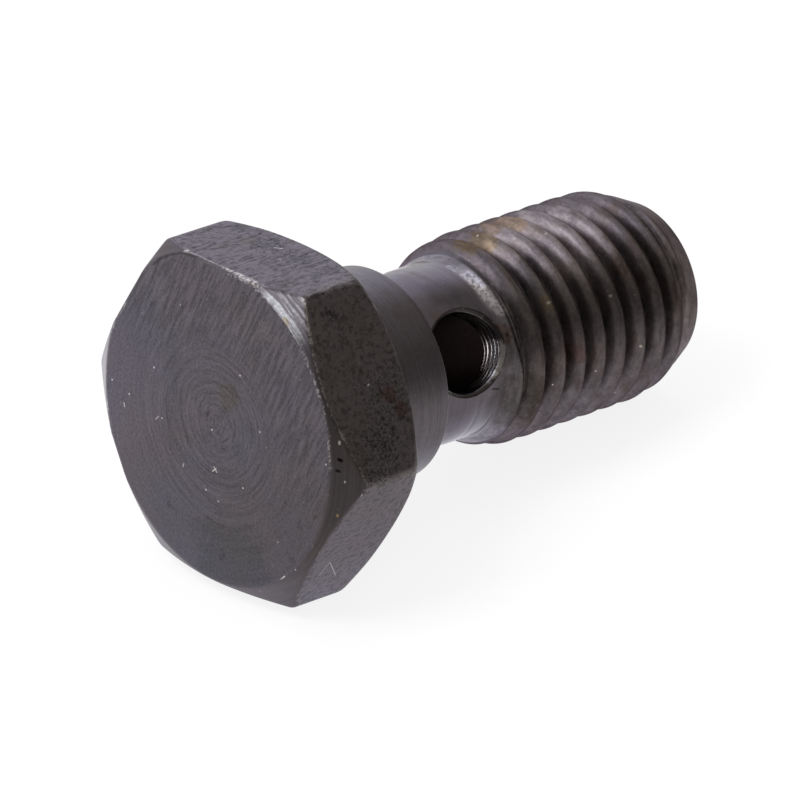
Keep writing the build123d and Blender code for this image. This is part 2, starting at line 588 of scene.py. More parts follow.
@dataclass
class BanjoBolt:
    """The whole bolt: its sizes, the skin laid from them and how it lies."""

    head: Head = field(default_factory=Head)
    shank: Shank = field(default_factory=Shank)
    thread: Thread = field(default_factory=Thread)
    bore: Bore = field(default_factory=Bore)
    cross_hole: CrossHole = field(default_factory=CrossHole)
    columns_per_side: int = 36
    column_crowding: float = 0.7
    first_shank_station: float = 11.35
    window_start: float = 11.44
    window_end: float = 16.95
    window_half_angle: float = 37.0
    bore_window_start: float = 11.74
    bore_window_end: float = 16.8
    bore_window_half_angle: float = 47.0
    neck_step: float = 0.15
    thread_step: float = 0.096
    far_bore_rows: int = 7
    tip_run: float = 0.25

    def lie(self) -> Matrix:
        """How the bolt lies: on the far edge of its lower flat and on the last crest of its thread.

        Returns:
            The matrix from stations and offsets in millimetres to the shared frame in metres.
        """
        low = self.head.across_flats / 2 + self.head.offset
        seat_slope = math.tan(math.radians(self.head.seat_chamfer_angle))
        flat_end = self.head.height - (low - self.head.seat_radius) * seat_slope
        dip = math.atan2(low - self.shank.crest_radius, self.shank.last_crest() - flat_end)
        rest = low * math.cos(dip) + flat_end * math.sin(dip)
        back = self.head.face_radius * math.sin(dip)
        ahead = self.shank.tip_station * math.cos(dip) + self.shank.tip_radius * math.sin(dip)
        place = Matrix.Translation(Vector(((back - ahead) / 2, 0, rest)) * MM)
        return place @ Matrix.Rotation(dip, 4, "Y") @ Matrix.Scale(MM, 4)

    def azimuths(self) -> np.ndarray:
        """Spaces the skin's columns, crowded towards the hexagon's corners.

        Returns:
            The angle of each column, in radians.
        """
        share = np.arange(self.columns_per_side) / self.columns_per_side
        crowded = share - self.column_crowding * np.sin(2 * np.pi * share) / (2 * np.pi)
        sides = np.arange(HEAD_SIDES)[:, None] + crowded[None, :]
        return (sides * 2 * np.pi / HEAD_SIDES).ravel()

    def radius_at(self, station: np.ndarray, azimuth: np.ndarray) -> np.ndarray:
        """The shank's radius with its thread, behind the collar."""
        return self.thread.cut(station, azimuth, self.shank.plain_radius(station))

    def threaded_ring(self, station: float, azimuth: np.ndarray) -> np.ndarray:
        """A ring of the shank's surface, with its thread, behind the collar."""
        radius = self.radius_at(np.full(len(azimuth), station), azimuth)
        return round_ring(station, radius, azimuth)

    def head_corners(self, azimuth: np.ndarray) -> list[Corner]:
        """The profile from the face's middle, over the head and the collar, to the start of the neck.

        Args:
            azimuth: one angle for each column of the skin.

        Returns:
            The profile's corners in order.
        """
        shank = self.shank
        start = self.first_shank_station
        neck_radius = float(shank.plain_radius(np.array([start]))[0])
        collar_edge = round_ring(shank.collar_end, shank.collar_radius, azimuth)
        neck_root = round_ring(shank.collar_end, shank.neck_radius, azimuth)
        return self.head.corners(azimuth, shank.collar_radius, shank.collar_root_reach) + [
            Corner(collar_edge, Zone.SEAT, run_steps=3, reach=shank.collar_edge_reach, wear=0.8),
            Corner(neck_root, Zone.NECK, reach=shank.neck_root_reach, bend_steps=3),
            Corner(round_ring(start, neck_radius, azimuth), Zone.NECK),
        ]

    def tip_corners(self, azimuth: np.ndarray) -> list[Corner]:
        """The profile from the end of the thread, over the tip, into the bore.

        Args:
            azimuth: one angle for each column of the skin.

        Returns:
            The profile's corners in order.
        """
        shank, bore = self.shank, self.bore
        tip = shank.tip_station
        edge = round_ring(tip, shank.tip_radius, azimuth)
        mouth = round_ring(tip, bore.radius + bore.mouth_chamfer, azimuth)
        inside = round_ring(tip - bore.mouth_chamfer, bore.radius, azimuth)
        return [
            Corner(self.threaded_ring(tip - self.tip_run, azimuth), Zone.THREAD, run_steps=2),
            Corner(edge, Zone.SEAT, run_steps=4, reach=shank.tip_edge_reach, bend_steps=6, wear=0.8),
            Corner(mouth, Zone.SEAT, run_steps=2, reach=shank.mouth_edge_reach, bend_steps=3, wear=0.5),
            Corner(inside, Zone.HOLE),
        ]

    def shank_rows(self, skin: Skin, azimuth: np.ndarray, neck_rows: int) -> list[Row]:
        """Lays the neck and the thread, ring by ring.

        Args:
            skin: the skin that the rings are laid in.
            azimuth: one angle for each column.
            neck_rows: how many rows the window in the neck is high.

        Returns:
            The rows laid.
        """
        thread_end = self.shank.tip_station - self.tip_run
        thread_rows = round((thread_end - self.window_end) / self.thread_step)
        neck = np.linspace(self.window_start, self.window_end, neck_rows + 1)
        thread = np.linspace(self.window_end, thread_end, thread_rows + 1)[1:]
        rows: list[Row] = []
        for station in np.concatenate([neck, thread]):
            zone = Zone.NECK if station < self.window_end else Zone.THREAD
            rows.append(Row(skin.add(self.threaded_ring(station, azimuth)), zone))
        return rows

    def bore_rows(self, skin: Skin, azimuth: np.ndarray, far: np.ndarray, near: np.ndarray) -> list[Row]:
        """Lays the bore and the cone at its end, ring by ring.

        Args:
            skin: the skin that the rings are laid in.
            azimuth: one angle for each column.
            far: the stations between the bore's mouth and the cross hole's window.
            near: the stations along that window.

        Returns:
            The rows laid.
        """
        bore = self.bore
        rows: list[Row] = []
        for station in np.concatenate([far, near, [bore.end_station]]):
            rows.append(Row(skin.add(round_ring(station, bore.radius, azimuth)), Zone.HOLE))
        for share in bore.cone_shares:
            station = bore.end_station + (bore.apex() - bore.end_station) * share
            rows.append(Row(skin.add(round_ring(station, bore.radius * (1 - share), azimuth)), Zone.HOLE))
        return rows

    def weave(self) -> bpy.types.Object:
        """Lays the whole skin and makes its mesh.

        Returns:
            The piece, still in millimetres along the bolt.
        """
        skin = Skin()
        azimuth = self.azimuths()
        wide = self.window_columns(azimuth, self.window_half_angle)
        narrow = self.window_columns(azimuth, self.bore_window_half_angle)
        neck_rows = round((self.window_end - self.window_start) / self.neck_step)
        hidden_rows = neck_rows + len(wide) - len(narrow)

        rows = skin.lay(self.head_corners(azimuth))
        neck_window = Window(len(rows), len(rows) + neck_rows, wide.start, wide.stop)
        rows += self.shank_rows(skin, azimuth, neck_rows)
        rows = rows[:-1] + skin.lay(self.tip_corners(azimuth))
        bore_start = self.shank.tip_station - self.bore.mouth_chamfer
        far = np.linspace(bore_start, self.bore_window_end, self.far_bore_rows + 1)[1:-1]
        near = np.linspace(self.bore_window_end, self.bore_window_start, hidden_rows + 1)
        first = len(rows) + len(far)
        bore_window = Window(first, first + hidden_rows, narrow.start, narrow.stop)
        rows += self.bore_rows(skin, azimuth, far, near)

        gaps: dict[int, list[range]] = {}
        for side in (0, 1):
            columns = side * len(azimuth) // 2
            outside, inside = neck_window.turned(columns), bore_window.turned(columns)
            for window in (outside, inside):
                for row in window.rows():
                    gaps.setdefault(row, []).append(window.columns())
            self.drill(skin, outside.border(rows, True), inside.border(rows, False), side * math.pi)

        for number, (row, following) in enumerate(zip(rows, rows[1:])):
            skin.strip(row.ring, following.ring, row.zone, gaps.get(number))
        skin.fan(rows[0].ring, (0.0, *self.head.face_centre), Zone.FACE)
        skin.fan(rows[-1].ring, (self.bore.apex(), 0.0, 0.0), Zone.HOLE)
        return skin.mesh("bolt_body")

    def window_columns(self, azimuth: np.ndarray, half_angle: float) -> range:
        """The columns of a window round the cross hole.

        Args:
            azimuth: one angle for each column of the skin.
            half_angle: how far the window reaches to either side, in degrees.

        Returns:
            The columns of faces that it takes up.
        """
        middle = self.cross_hole.azimuth
        ends = (math.radians(middle - half_angle), math.radians(middle + half_angle))
        return range(*(int(np.argmin(np.abs(azimuth - end))) for end in ends))

    def drill(self, skin: Skin, outer_border: np.ndarray, inner_border: np.ndarray, turned: float) -> None:
        """Fills a pair of windows with the mouths of the cross hole and the wall between them.

        Args:
            skin: the skin that the windows are in.
            outer_border: the points round the window in the neck.
            inner_border: the points round the window in the bore.
            turned: how far round the bolt this mouth is from the first, in radians.
        """
        hole = self.cross_hole
        middle = math.radians(hole.azimuth) + turned
        points = np.concatenate(skin.points)
        outer = unroll(points[outer_border], middle)
        inner = unroll(points[inner_border], middle)
        turn = np.arctan2(self.shank.neck_radius * np.sin(outer[:, 1]), outer[:, 0] - hole.station)

        mouth_station = hole.station + hole.mouth_radius * np.cos(turn)
        surface = self.radius_at(mouth_station, np.full(len(turn), middle))
        mouth_angle = np.arcsin(hole.mouth_radius * np.sin(turn) / surface)
        mouth = np.stack([mouth_station, mouth_angle], axis=1)
        ring = outer_border
        for share in hole.neck_shares:
            flat = outer + (mouth - outer) * share
            radius = self.radius_at(flat[:, 0], flat[:, 1] + middle)
            following = skin.add(roll(flat, radius, middle))
            skin.strip(ring, following, Zone.NECK)
            ring = following

        top = height_on(surface, hole.mouth_radius * np.sin(turn))
        bottom = height_on(self.bore.radius, hole.radius * np.sin(turn))
        for row in range(hole.wall_rows + 1):
            radius, height = hole.wall(row / hole.wall_rows, top, bottom)
            across = radius * np.sin(turn)
            wall = np.stack([hole.station + radius * np.cos(turn), np.arctan2(across, height)], axis=1)
            wear, zone = (0.0, Zone.HOLE) if row else (hole.mouth_wear, Zone.NECK)
            following = skin.add(roll(wall, np.hypot(across, height), middle), wear)
            skin.strip(ring, following, zone)
            ring = following

        bottom_angle = np.arcsin(hole.radius * np.sin(turn) / self.bore.radius)
        bottom_mouth = np.stack([hole.station + hole.radius * np.cos(turn), bottom_angle], axis=1)
        for share in hole.bore_shares:
            flat = bottom_mouth + (inner - bottom_mouth) * share
            following = skin.add(roll(flat, self.bore.radius, middle))
            skin.strip(ring, following, Zone.HOLE)
            ring = following
        skin.strip(ring, inner_border, Zone.HOLE)

    def build(self, finishes: dict[Zone, bpy.types.Material]) -> bpy.types.Object:
        """Makes the bolt, lays it in place and gives each zone its finish.

        Args:
            finishes: the material for each zone.

        Returns:
            The finished piece.
        """
        piece = self.weave()
        piece.data.transform(self.lie())
        for zone in Zone:
            piece.data.materials.append(finishes[zone])
        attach(piece, BODY)
        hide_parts(CAD_NODE)
        return piece


# ---------------------------------------------------------------- finishes


@dataclass(frozen=True)
class Grain:
    """Plain noise: how close its grains lie, how many layers it has, how rough and how twisted they are."""

    scale: float
    layers: float
    rough: float
    twist: float = 0.0


@dataclass(frozen=True)
class Ramp:
    """A smooth change of one number with another, held at its ends."""

    low: float
    high: float
    at_low: float = 0.0
    at_high: float = 1.0


@dataclass(frozen=True)
class Flecks:
    """Scattered small round spots: how close they could lie, their radius and how many are there."""

    spacing: float = 1.3
    size: float = 0.085
    share: float = 0.02
    size_range: Ramp = Ramp(0.0, 1.0, 0.4, 1.0)
    softness: Ramp = Ramp(0.0, 0.45)


class Graph:
    """Adds nodes to one material and joins them."""

    def __init__(self, name: str) -> None:
        """Starts an empty material.

        Args:
            name: the material's name.
        """
        self.material = bpy.data.materials.new(name)
        self.material.use_nodes = True
        self.tree = self.material.node_tree
        self.tree.nodes.clear()

    def feed(self, socket: Socket, value: Feed) -> None:
        """Joins a socket to another, or sets it to a value.

        Args:
            socket: the socket that takes the value.
            value: the other socket, a number, a colour or a place.
        """
        if isinstance(value, bpy.types.NodeSocket):
            self.tree.links.new(value, socket)
        elif isinstance(value, tuple) and socket.type == "RGBA":
            socket.default_value = (*value, 1.0)
        else:
            socket.default_value = value

    def add(
        self, kind: str, inputs: dict[str | int, Feed] | None = None, **settings: object
    ) -> bpy.types.Node:
        """Adds a node.

        Args:
            kind: the node's type, without the ShaderNode that it starts with.
            inputs: what to feed to its inputs, by name or number.
            settings: the node's own settings.

        Returns:
            The node.
        """
        node = self.tree.nodes.new("ShaderNode" + kind)
        for name, setting in settings.items():
            setattr(node, name, setting)
        for key, value in (inputs or {}).items():
            self.feed(node.inputs[key], value)
        return node

    def finish(self, surface: bpy.types.Node) -> bpy.types.Material:
        """Joins the last shader to the material's output and returns the material."""
        self.add("OutputMaterial", {0: surface.outputs[0]})
        return self.material

    def math(self, operation: str, one: Feed, other: Feed = 0.0) -> Socket:
        """The result of a sum on two numbers."""
        return self.add("Math", {0: one, 1: other}, operation=operation).outputs[0]

    def times(self, one: Feed, other: Feed) -> Socket:
        """Two numbers multiplied."""
        return self.math("MULTIPLY", one, other)

    def plus(self, one: Feed, other: Feed) -> Socket:
        """Two numbers added."""
        return self.math("ADD", one, other)

    def greater(self, one: Feed, other: Feed) -> Socket:
        """The greater of two numbers."""
        return self.math("MAXIMUM", one, other)

    def vector(
        self, operation: str, one: Feed, other: Feed = (0.0, 0.0, 0.0), scale: Feed = 1.0
    ) -> bpy.types.Node:
        """The node for a sum on two vectors."""
        return self.add("VectorMath", {0: one, 1: other, 3: scale}, operation=operation)

    def mix(self, share: Feed, low: Feed, high: Feed) -> Socket:
        """A colour between two others."""
        return self.add("Mix", {0: share, 6: low, 7: high}, data_type="RGBA").outputs[2]

    def between(self, share: Feed, low: Feed, high: Feed) -> Socket:
        """A number between two others."""
        return self.add("Mix", {0: share, 2: low, 3: high}, data_type="FLOAT").outputs[0]

    def spread(self, value: Feed, ramp: Ramp) -> Socket:
        """A value moved smoothly from one range to another, and held at its ends.

        Args:
            value: the value.
            ramp: the two ranges.

        Returns:
            What the value becomes.
        """
        inputs = {
            "Value": value,
            "From Min": ramp.low,
            "From Max": ramp.high,
            "To Min": ramp.at_low,
            "To Max": ramp.at_high,
        }
        return self.add("MapRange", inputs, interpolation_type="SMOOTHSTEP").outputs["Result"]

    def noise(self, place: Feed, grain: Grain) -> Socket:
        """Plain noise at a place.

        Args:
            place: where the point is.
            grain: the kind of noise.

        Returns:
            The noise, about one half on average.
        """
        inputs = {
            "Vector": place,
            "Scale": grain.scale,
            "Detail": grain.layers,
            "Roughness": grain.rough,
            "Distortion": grain.twist,
        }
        return self.add("TexNoise", inputs).outputs["Fac"]

    def grained(self, place: Feed, grain: Grain, ramp: Ramp) -> Socket:
        """Plain noise at a place, moved from one range to another."""
        return self.spread(self.noise(place, grain), ramp)

    def flecks(self, place: Feed, flecks: Flecks) -> Socket:
        """Scattered small round spots.

        Args:
            place: where the point is.
            flecks: how many there are and how large.

        Returns:
            One inside a spot and nought elsewhere.
        """
        inputs = {"Vector": place, "Scale": flecks.spacing, "Randomness": 1.0}
        cells = self.add("TexVoronoi", inputs).outputs
        chosen = self.add("SeparateColor", {0: cells["Color"]}).outputs
        here = self.math("LESS_THAN", chosen[0], flecks.share)
        spot = self.times(self.spread(chosen[1], flecks.size_range), flecks.size)
        near = self.math("SUBTRACT", 1.0, self.math("DIVIDE", cells["Distance"], spot))
        return self.times(here, self.spread(near, flecks.softness))

    def near(self, place: Feed, centre: Point, reach: float, core: float = 0.0) -> Socket:
        """One at a centre, as far as its core, and nought beyond a reach from it."""
        distance = self.vector("DISTANCE", place, centre).outputs["Value"]
        return self.spread(distance, Ramp(core, reach, 1.0, 0.0))

    def along(self, place: Feed, way: Point) -> Socket:
        """How far a place lies along a direction."""
        return self.vector("DOT_PRODUCT", place, way).outputs["Value"]

    def shaded(self, colour: Feed, shade: Feed) -> Socket:
        """A colour made lighter or darker."""
        return self.vector("SCALE", colour, scale=shade).outputs[0]

    def stroke(self, place: Feed, start: Point, end: Point, width: float, core: float = 0.3) -> Socket:
        """A thin line between two points.

        Args:
            place: where the point is.
            start: one end of the line.
            end: its other end.
            width: how far it reaches to either side.
            core: the share of that reach that is solid.

        Returns:
            One on the line and nought beside it.
        """
        way = np.subtract(end, start)
        share_way = tuple(way / float(np.dot(way, way)))
        offset = self.vector("SUBTRACT", place, start).outputs[0]
        share = self.math("MINIMUM", self.greater(self.along(offset, share_way), 0.0), 1.0)
        foot = self.vector("SCALE", tuple(way), scale=share).outputs[0]
        gap = self.vector("DISTANCE", offset, foot).outputs["Value"]
        return self.spread(gap, Ramp(width * core, width, 1.0, 0.0))

    def join(self, x: Feed, y: Feed, z: Feed) -> Socket:
        """Three numbers as a vector."""
        return self.add("CombineXYZ", {0: x, 1: y, 2: z}).outputs[0]


@dataclass(frozen=True)
class BoltPlace:
    """Where a point of the surface lies on the bolt, in millimetres."""

    whole: Socket
    station: Socket
    across: Socket
    up: Socket
    radius: Socket
    cosine: Socket
    sine: Socket

    @classmethod
    def of(cls, graph: Graph, lie: Matrix, centre: tuple[float, float]) -> "BoltPlace":
        """Works the place out from the piece's own coordinates.

        Args:
            graph: the material's graph.
            lie: the matrix that lays the bolt in the shared frame.
            centre: the (y, z) of the point that radii are counted from.

        Returns:
            The place, with its parts as sockets.
        """
        location, turn, scale = lie.decompose()
        inputs = {
            "Vector": graph.add("TexCoord").outputs["Object"],
            "Location": tuple(location),
            "Rotation": tuple(turn.to_euler()),
            "Scale": tuple(scale),
        }
        whole = graph.add("Mapping", inputs, vector_type="TEXTURE").outputs[0]
        station, y, z = graph.add("SeparateXYZ", {0: whole}).outputs
        across = graph.math("SUBTRACT", y, centre[0])
        up = graph.math("SUBTRACT", z, centre[1])
        squares = graph.plus(graph.times(across, across), graph.times(up, up))
        radius = graph.greater(graph.math("SQRT", squares), LEAST_RADIUS)
        cosine, sine = (graph.math("DIVIDE", part, radius) for part in (across, up))
        return cls(whole, station, across, up, radius, cosine, sine)

    def ringed(self, graph: Graph, measure: Socket, density: float, sweep: float = 1.0) -> Socket:
        """A place for noise that runs in rings round the bolt.

        Args:
            graph: the material's graph.
            measure: the measure that the rings are stacked along.
            density: how close they lie.
            sweep: how much the noise changes on the way round.

        Returns:
            The place as a vector.
        """
        circle = (self.cosine, self.sine)
        if sweep != 1.0:
            circle = tuple(graph.times(part, sweep) for part in circle)
        return graph.join(graph.times(measure, density), *circle)


@dataclass(frozen=True)
class Looks:
    """What a finish says of its surface: colour, roughness and height of relief."""

    colour: Feed
    roughness: Feed
    height: Socket


@dataclass(frozen=True)
class Patch:
    """A round place on the bolt, in millimetres, and how strongly something shows there."""

    place: Point
    reach: float
    share: float = 1.0


@dataclass(frozen=True)
class StainOrPaintedLight:
    """A ragged patch of another colour round one place, in millimetres on the bolt. Some mark real dirt and
    rust; others are painted highlights and painted shade.
    """

    place: Point
    reach: float
    colour: Colour
    share: float = 0.7
    grain: float = 2.2


@dataclass(frozen=True)
class ScratchOrPaintedLine:
    """A line mark between two places, in millimetres on the bolt. Most are scores, nicks and specks; some
    are painted lines of highlight and of shade.
    """

    start: Point
    end: Point
    width: float
    colour: Colour
    share: float = 0.9
    ragged: bool = False


@dataclass(frozen=True)
class OxideSteel:
    """Dark oxide on steel. The finishes of the zones are kinds of it."""

    name: str
    tone: Colour = (0.150, 0.138, 0.160)
    brown: Colour = (0.105, 0.078, 0.060)
    bare: Colour = (0.38, 0.365, 0.36)
    edge_tint: Colour = (1.0, 1.0, 1.0)
    roughness: float = 0.38
    relief: float = 0.35
    relief_depth: float = 0.02
    brown_share: float = 0.3
    brown_grain: Grain = Grain(0.35, 5.0, 0.62)
    brown_edge: Ramp = Ramp(0.5, 0.72)
    dust: Flecks = Flecks()
    dust_colour: Colour = (0.62, 0.60, 0.57)
    wear_gain: float = 0.7
    wear_edge: Ramp = Ramp(0.55, 0.9)
    stretch_grain: Grain = Grain(0.42, 2.0, 0.5)
    stretch_edge: Ramp = Ramp(0.52, 0.66)
    chip_grain: Grain = Grain(5.0, 4.0, 0.72)
    chip_depth: Ramp = Ramp(0.2, 0.8, -0.9, 0.9)
    stain_or_light_core: float = 0.25
    stain_or_light_grain: Grain = Grain(2.2, 4.0, 0.65)
    stain_or_light_fray: Ramp = Ramp(0.3, 0.7, -0.55, 0.35)
    stain_or_light_edge: Ramp = Ramp(0.1, 0.7)
    break_grain: Grain = Grain(4.5, 4.0, 0.7)
    break_edge: Ramp = Ramp(0.4, 0.58)
    grain: Grain = Grain(6.0, 4.0, 0.6)
    rubbed: tuple[Patch, ...] = ()
    stains_and_painted_light: tuple[StainOrPaintedLight, ...] = ()
    scratches_and_painted_lines: tuple[ScratchOrPaintedLine, ...] = ()

    def surface(self, graph: Graph, place: BoltPlace) -> Looks:
        """The finish's own look, before tints, edge wear and marks. Kinds of steel replace it.

        Args:
            graph: the material's graph.
            place: where the point lies on the bolt.

        Returns:
            The colour, the roughness and the relief.
        """
        return Looks(self.tone, self.roughness, graph.noise(place.whole, self.grain))

    def stained_or_painted(self, graph: Graph, place: BoltPlace, colour: Socket, stain_or_light: StainOrPaintedLight) -> Socket:
        """Lays one ragged patch over a colour; the patches are real dirt and rust, painted highlights and
        painted shade.

        Args:
            graph: the material's graph.
            place: where the point lies on the bolt.
            colour: the colour below.
            stain_or_light: the patch.

        Returns:
            The colour with the patch.
        """
        there = graph.near(place.whole, stain_or_light.place, stain_or_light.reach, stain_or_light.reach * self.stain_or_light_core)
        grain = replace(self.stain_or_light_grain, scale=stain_or_light.grain)
        fray = graph.grained(place.whole, grain, self.stain_or_light_fray)
        ragged = graph.times(graph.plus(there, fray), there)
        share = graph.times(graph.spread(ragged, self.stain_or_light_edge), stain_or_light.share)
        tint = tuple(float(part) for part in np.divide(stain_or_light.colour, self.tone))
        return graph.mix(share, colour, graph.vector("MULTIPLY", colour, tint).outputs[0])

    def worn(self, graph: Graph, place: BoltPlace) -> Socket:
        """Where the edges are rubbed bare: in stretches, and all along the rubbed places.

        Args:
            graph: the material's graph.
            place: where the point lies on the bolt.

        Returns:
            How bare the steel is.
        """
        edge = graph.add("Attribute", attribute_name=WEAR).outputs["Fac"]
        stretches = graph.grained(place.whole, self.stretch_grain, self.stretch_edge)
        for patch in self.rubbed:
            there = graph.times(graph.near(place.whole, patch.place, patch.reach), patch.share)
            stretches = graph.greater(stretches, there)
        chips = graph.grained(place.whole, self.chip_grain, self.chip_depth)
        worn = graph.plus(graph.times(stretches, edge), chips)
        return graph.times(graph.spread(worn, self.wear_edge), self.wear_gain)

    def scratched_or_painted(self, graph: Graph, place: BoltPlace, colour: Socket) -> Socket:
        """Lays the line marks over a colour: scores, nicks and specks, and painted lines of highlight and
        shade.

        Args:
            graph: the material's graph.
            place: where the point lies on the bolt.
            colour: the colour below.

        Returns:
            The colour with the scratches.
        """
        broken = graph.grained(place.whole, self.break_grain, self.break_edge)
        for scratch_or_painted_line in self.scratches_and_painted_lines:
            line = graph.stroke(place.whole, scratch_or_painted_line.start, scratch_or_painted_line.end, scratch_or_painted_line.width)
            if scratch_or_painted_line.ragged:
                line = graph.times(line, broken)
            colour = graph.mix(graph.times(line, scratch_or_painted_line.share), colour, scratch_or_painted_line.colour)
        return colour

    def make(self, lie: Matrix, centre: tuple[float, float]) -> bpy.types.Material:
        """Builds the material.

        Args:
            lie: the matrix that lays the bolt in the shared frame.
            centre: the (y, z) of the middle of the turning marks.

        Returns:
            The material.
        """
        graph = Graph(self.name)
        place = BoltPlace.of(graph, lie, centre)
        looks = self.surface(graph, place)
        browning = replace(self.brown_edge, at_high=self.brown_share)
        colour = graph.mix(graph.grained(place.whole, self.brown_grain, browning), looks.colour, self.brown)
        for stain_or_light in self.stains_and_painted_light:
            colour = self.stained_or_painted(graph, place, colour, stain_or_light)
        colour = graph.mix(self.worn(graph, place), colour, self.bare)
        colour = graph.mix(graph.flecks(place.whole, self.dust), colour, self.dust_colour)
        colour = self.scratched_or_painted(graph, place, colour)
        relief = {"Strength": self.relief, "Distance": self.relief_depth * MM, "Height": looks.height}
        steel = {
            "Base Color": colour,
            "Metallic": 1.0,
            "Roughness": looks.roughness,
            "Normal": graph.add("Bump", relief).outputs[0],
            "Specular Tint": self.edge_tint,
        }
        return graph.finish(graph.add("BsdfPrincipled", steel))


@dataclass(frozen=True)
class FacedSteel(OxideSteel):
    """The head's front, faced off on a lathe and rubbed over."""

    blue: Colour = (0.119, 0.111, 0.132)
    grey: Colour = (0.123, 0.110, 0.121)
    patch_grain: Grain = Grain(0.2, 3.0, 0.55)
    patch_edge: Ramp = Ramp(0.35, 0.65)
    ring_density: float = 4.0
    ring_grain: Grain = Grain(1.35, 5.0, 0.68)
    ring_fade: Ramp = Ramp(3.6, 7.2, 0.0, 0.75)
    plain_mark: Colour = (0.5, 0.5, 0.5)
    arc_density: float = 2.2
    arc_sweep: float = 0.7
    arc_grain: Grain = Grain(2.6, 2.0, 0.5)
    arc_depth: Ramp = Ramp(0.36, 0.44, -0.17, 0.0)
    arc_fade: Ramp = Ramp(3.2, 5.5, 1.0, 0.2)
    slant_across: Point = (0.0, 0.90, 0.43)
    slant_along: Point = (0.0, -0.43, 0.90)
    slant_density: float = 3.4
    slant_stretch: float = 0.38
    slant_grain: Grain = Grain(1.25, 5.0, 0.65, 0.1)
    slant_depth: Ramp = Ramp(0.34, 0.64, 0.26, 0.64)
    upward: Point = (0.0, -0.35, 0.94)
    upper_part: Ramp = Ramp(-1.5, 3.5)
    outer_part: Ramp = Ramp(3.0, 6.0)
    mark_shade: Ramp = Ramp(0.3, 0.7, 0.78, 1.2)
    mark_roughness: Ramp = Ramp(0.3, 0.7, 0.45, 0.36)
    grit: Grain = Grain(6.0, 5.0, 0.75)
    grit_shade: Ramp = Ramp(0.36, 0.64, -0.16, 0.16)
    scuff_grain: Grain = Grain(1.3, 5.0, 0.65, 0.5)
    scuff_shade: Ramp = Ramp(0.3, 0.42, -0.24, 0.0)
    scuffed_part: Ramp = Ramp(2.5, 5.5)

    def marks(self, graph: Graph, place: BoltPlace) -> Socket:
        """The tool's broken rings round the middle, with straight slanting marks over them above.

        Args:
            graph: the material's graph.
            place: where the point lies on the bolt.

        Returns:
            The height of the marks.
        """
        rings = graph.noise(place.ringed(graph, place.radius, self.ring_density), self.ring_grain)
        rings = graph.mix(graph.spread(place.radius, self.ring_fade), rings, self.plain_mark)
        across = graph.times(graph.along(place.whole, self.slant_across), self.slant_density)
        along = graph.times(graph.along(place.whole, self.slant_along), self.slant_stretch)
        slants = graph.grained(graph.join(0.0, across, along), self.slant_grain, self.slant_depth)
        above = graph.spread(graph.along(place.whole, self.upward), self.upper_part)
        return graph.mix(graph.times(above, graph.spread(place.radius, self.outer_part)), rings, slants)

    def surface(self, graph: Graph, place: BoltPlace) -> Looks:
        """Marks of the tool, grit between them, and scuffs towards the edge.

        Args:
            graph: the material's graph.
            place: where the point lies on the bolt.

        Returns:
            The colour, the roughness and the relief.
        """
        marks = self.marks(graph, place)
        grit = graph.grained(place.whole, self.grit, self.grit_shade)
        scuffs = graph.grained(place.whole, self.scuff_grain, self.scuff_shade)
        scuffs = graph.times(scuffs, graph.spread(place.radius, self.scuffed_part))
        arc_place = place.ringed(graph, place.radius, self.arc_density, self.arc_sweep)
        arcs = graph.grained(arc_place, self.arc_grain, self.arc_depth)
        arcs = graph.times(arcs, graph.spread(place.radius, self.arc_fade))
        shade = graph.plus(graph.plus(graph.plus(graph.spread(marks, self.mark_shade), grit), scuffs), arcs)
        patches = graph.grained(place.whole, self.patch_grain, self.patch_edge)
        colour = graph.shaded(graph.mix(patches, self.grey, self.blue), shade)
        return Looks(colour, graph.spread(marks, self.mark_roughness), marks)


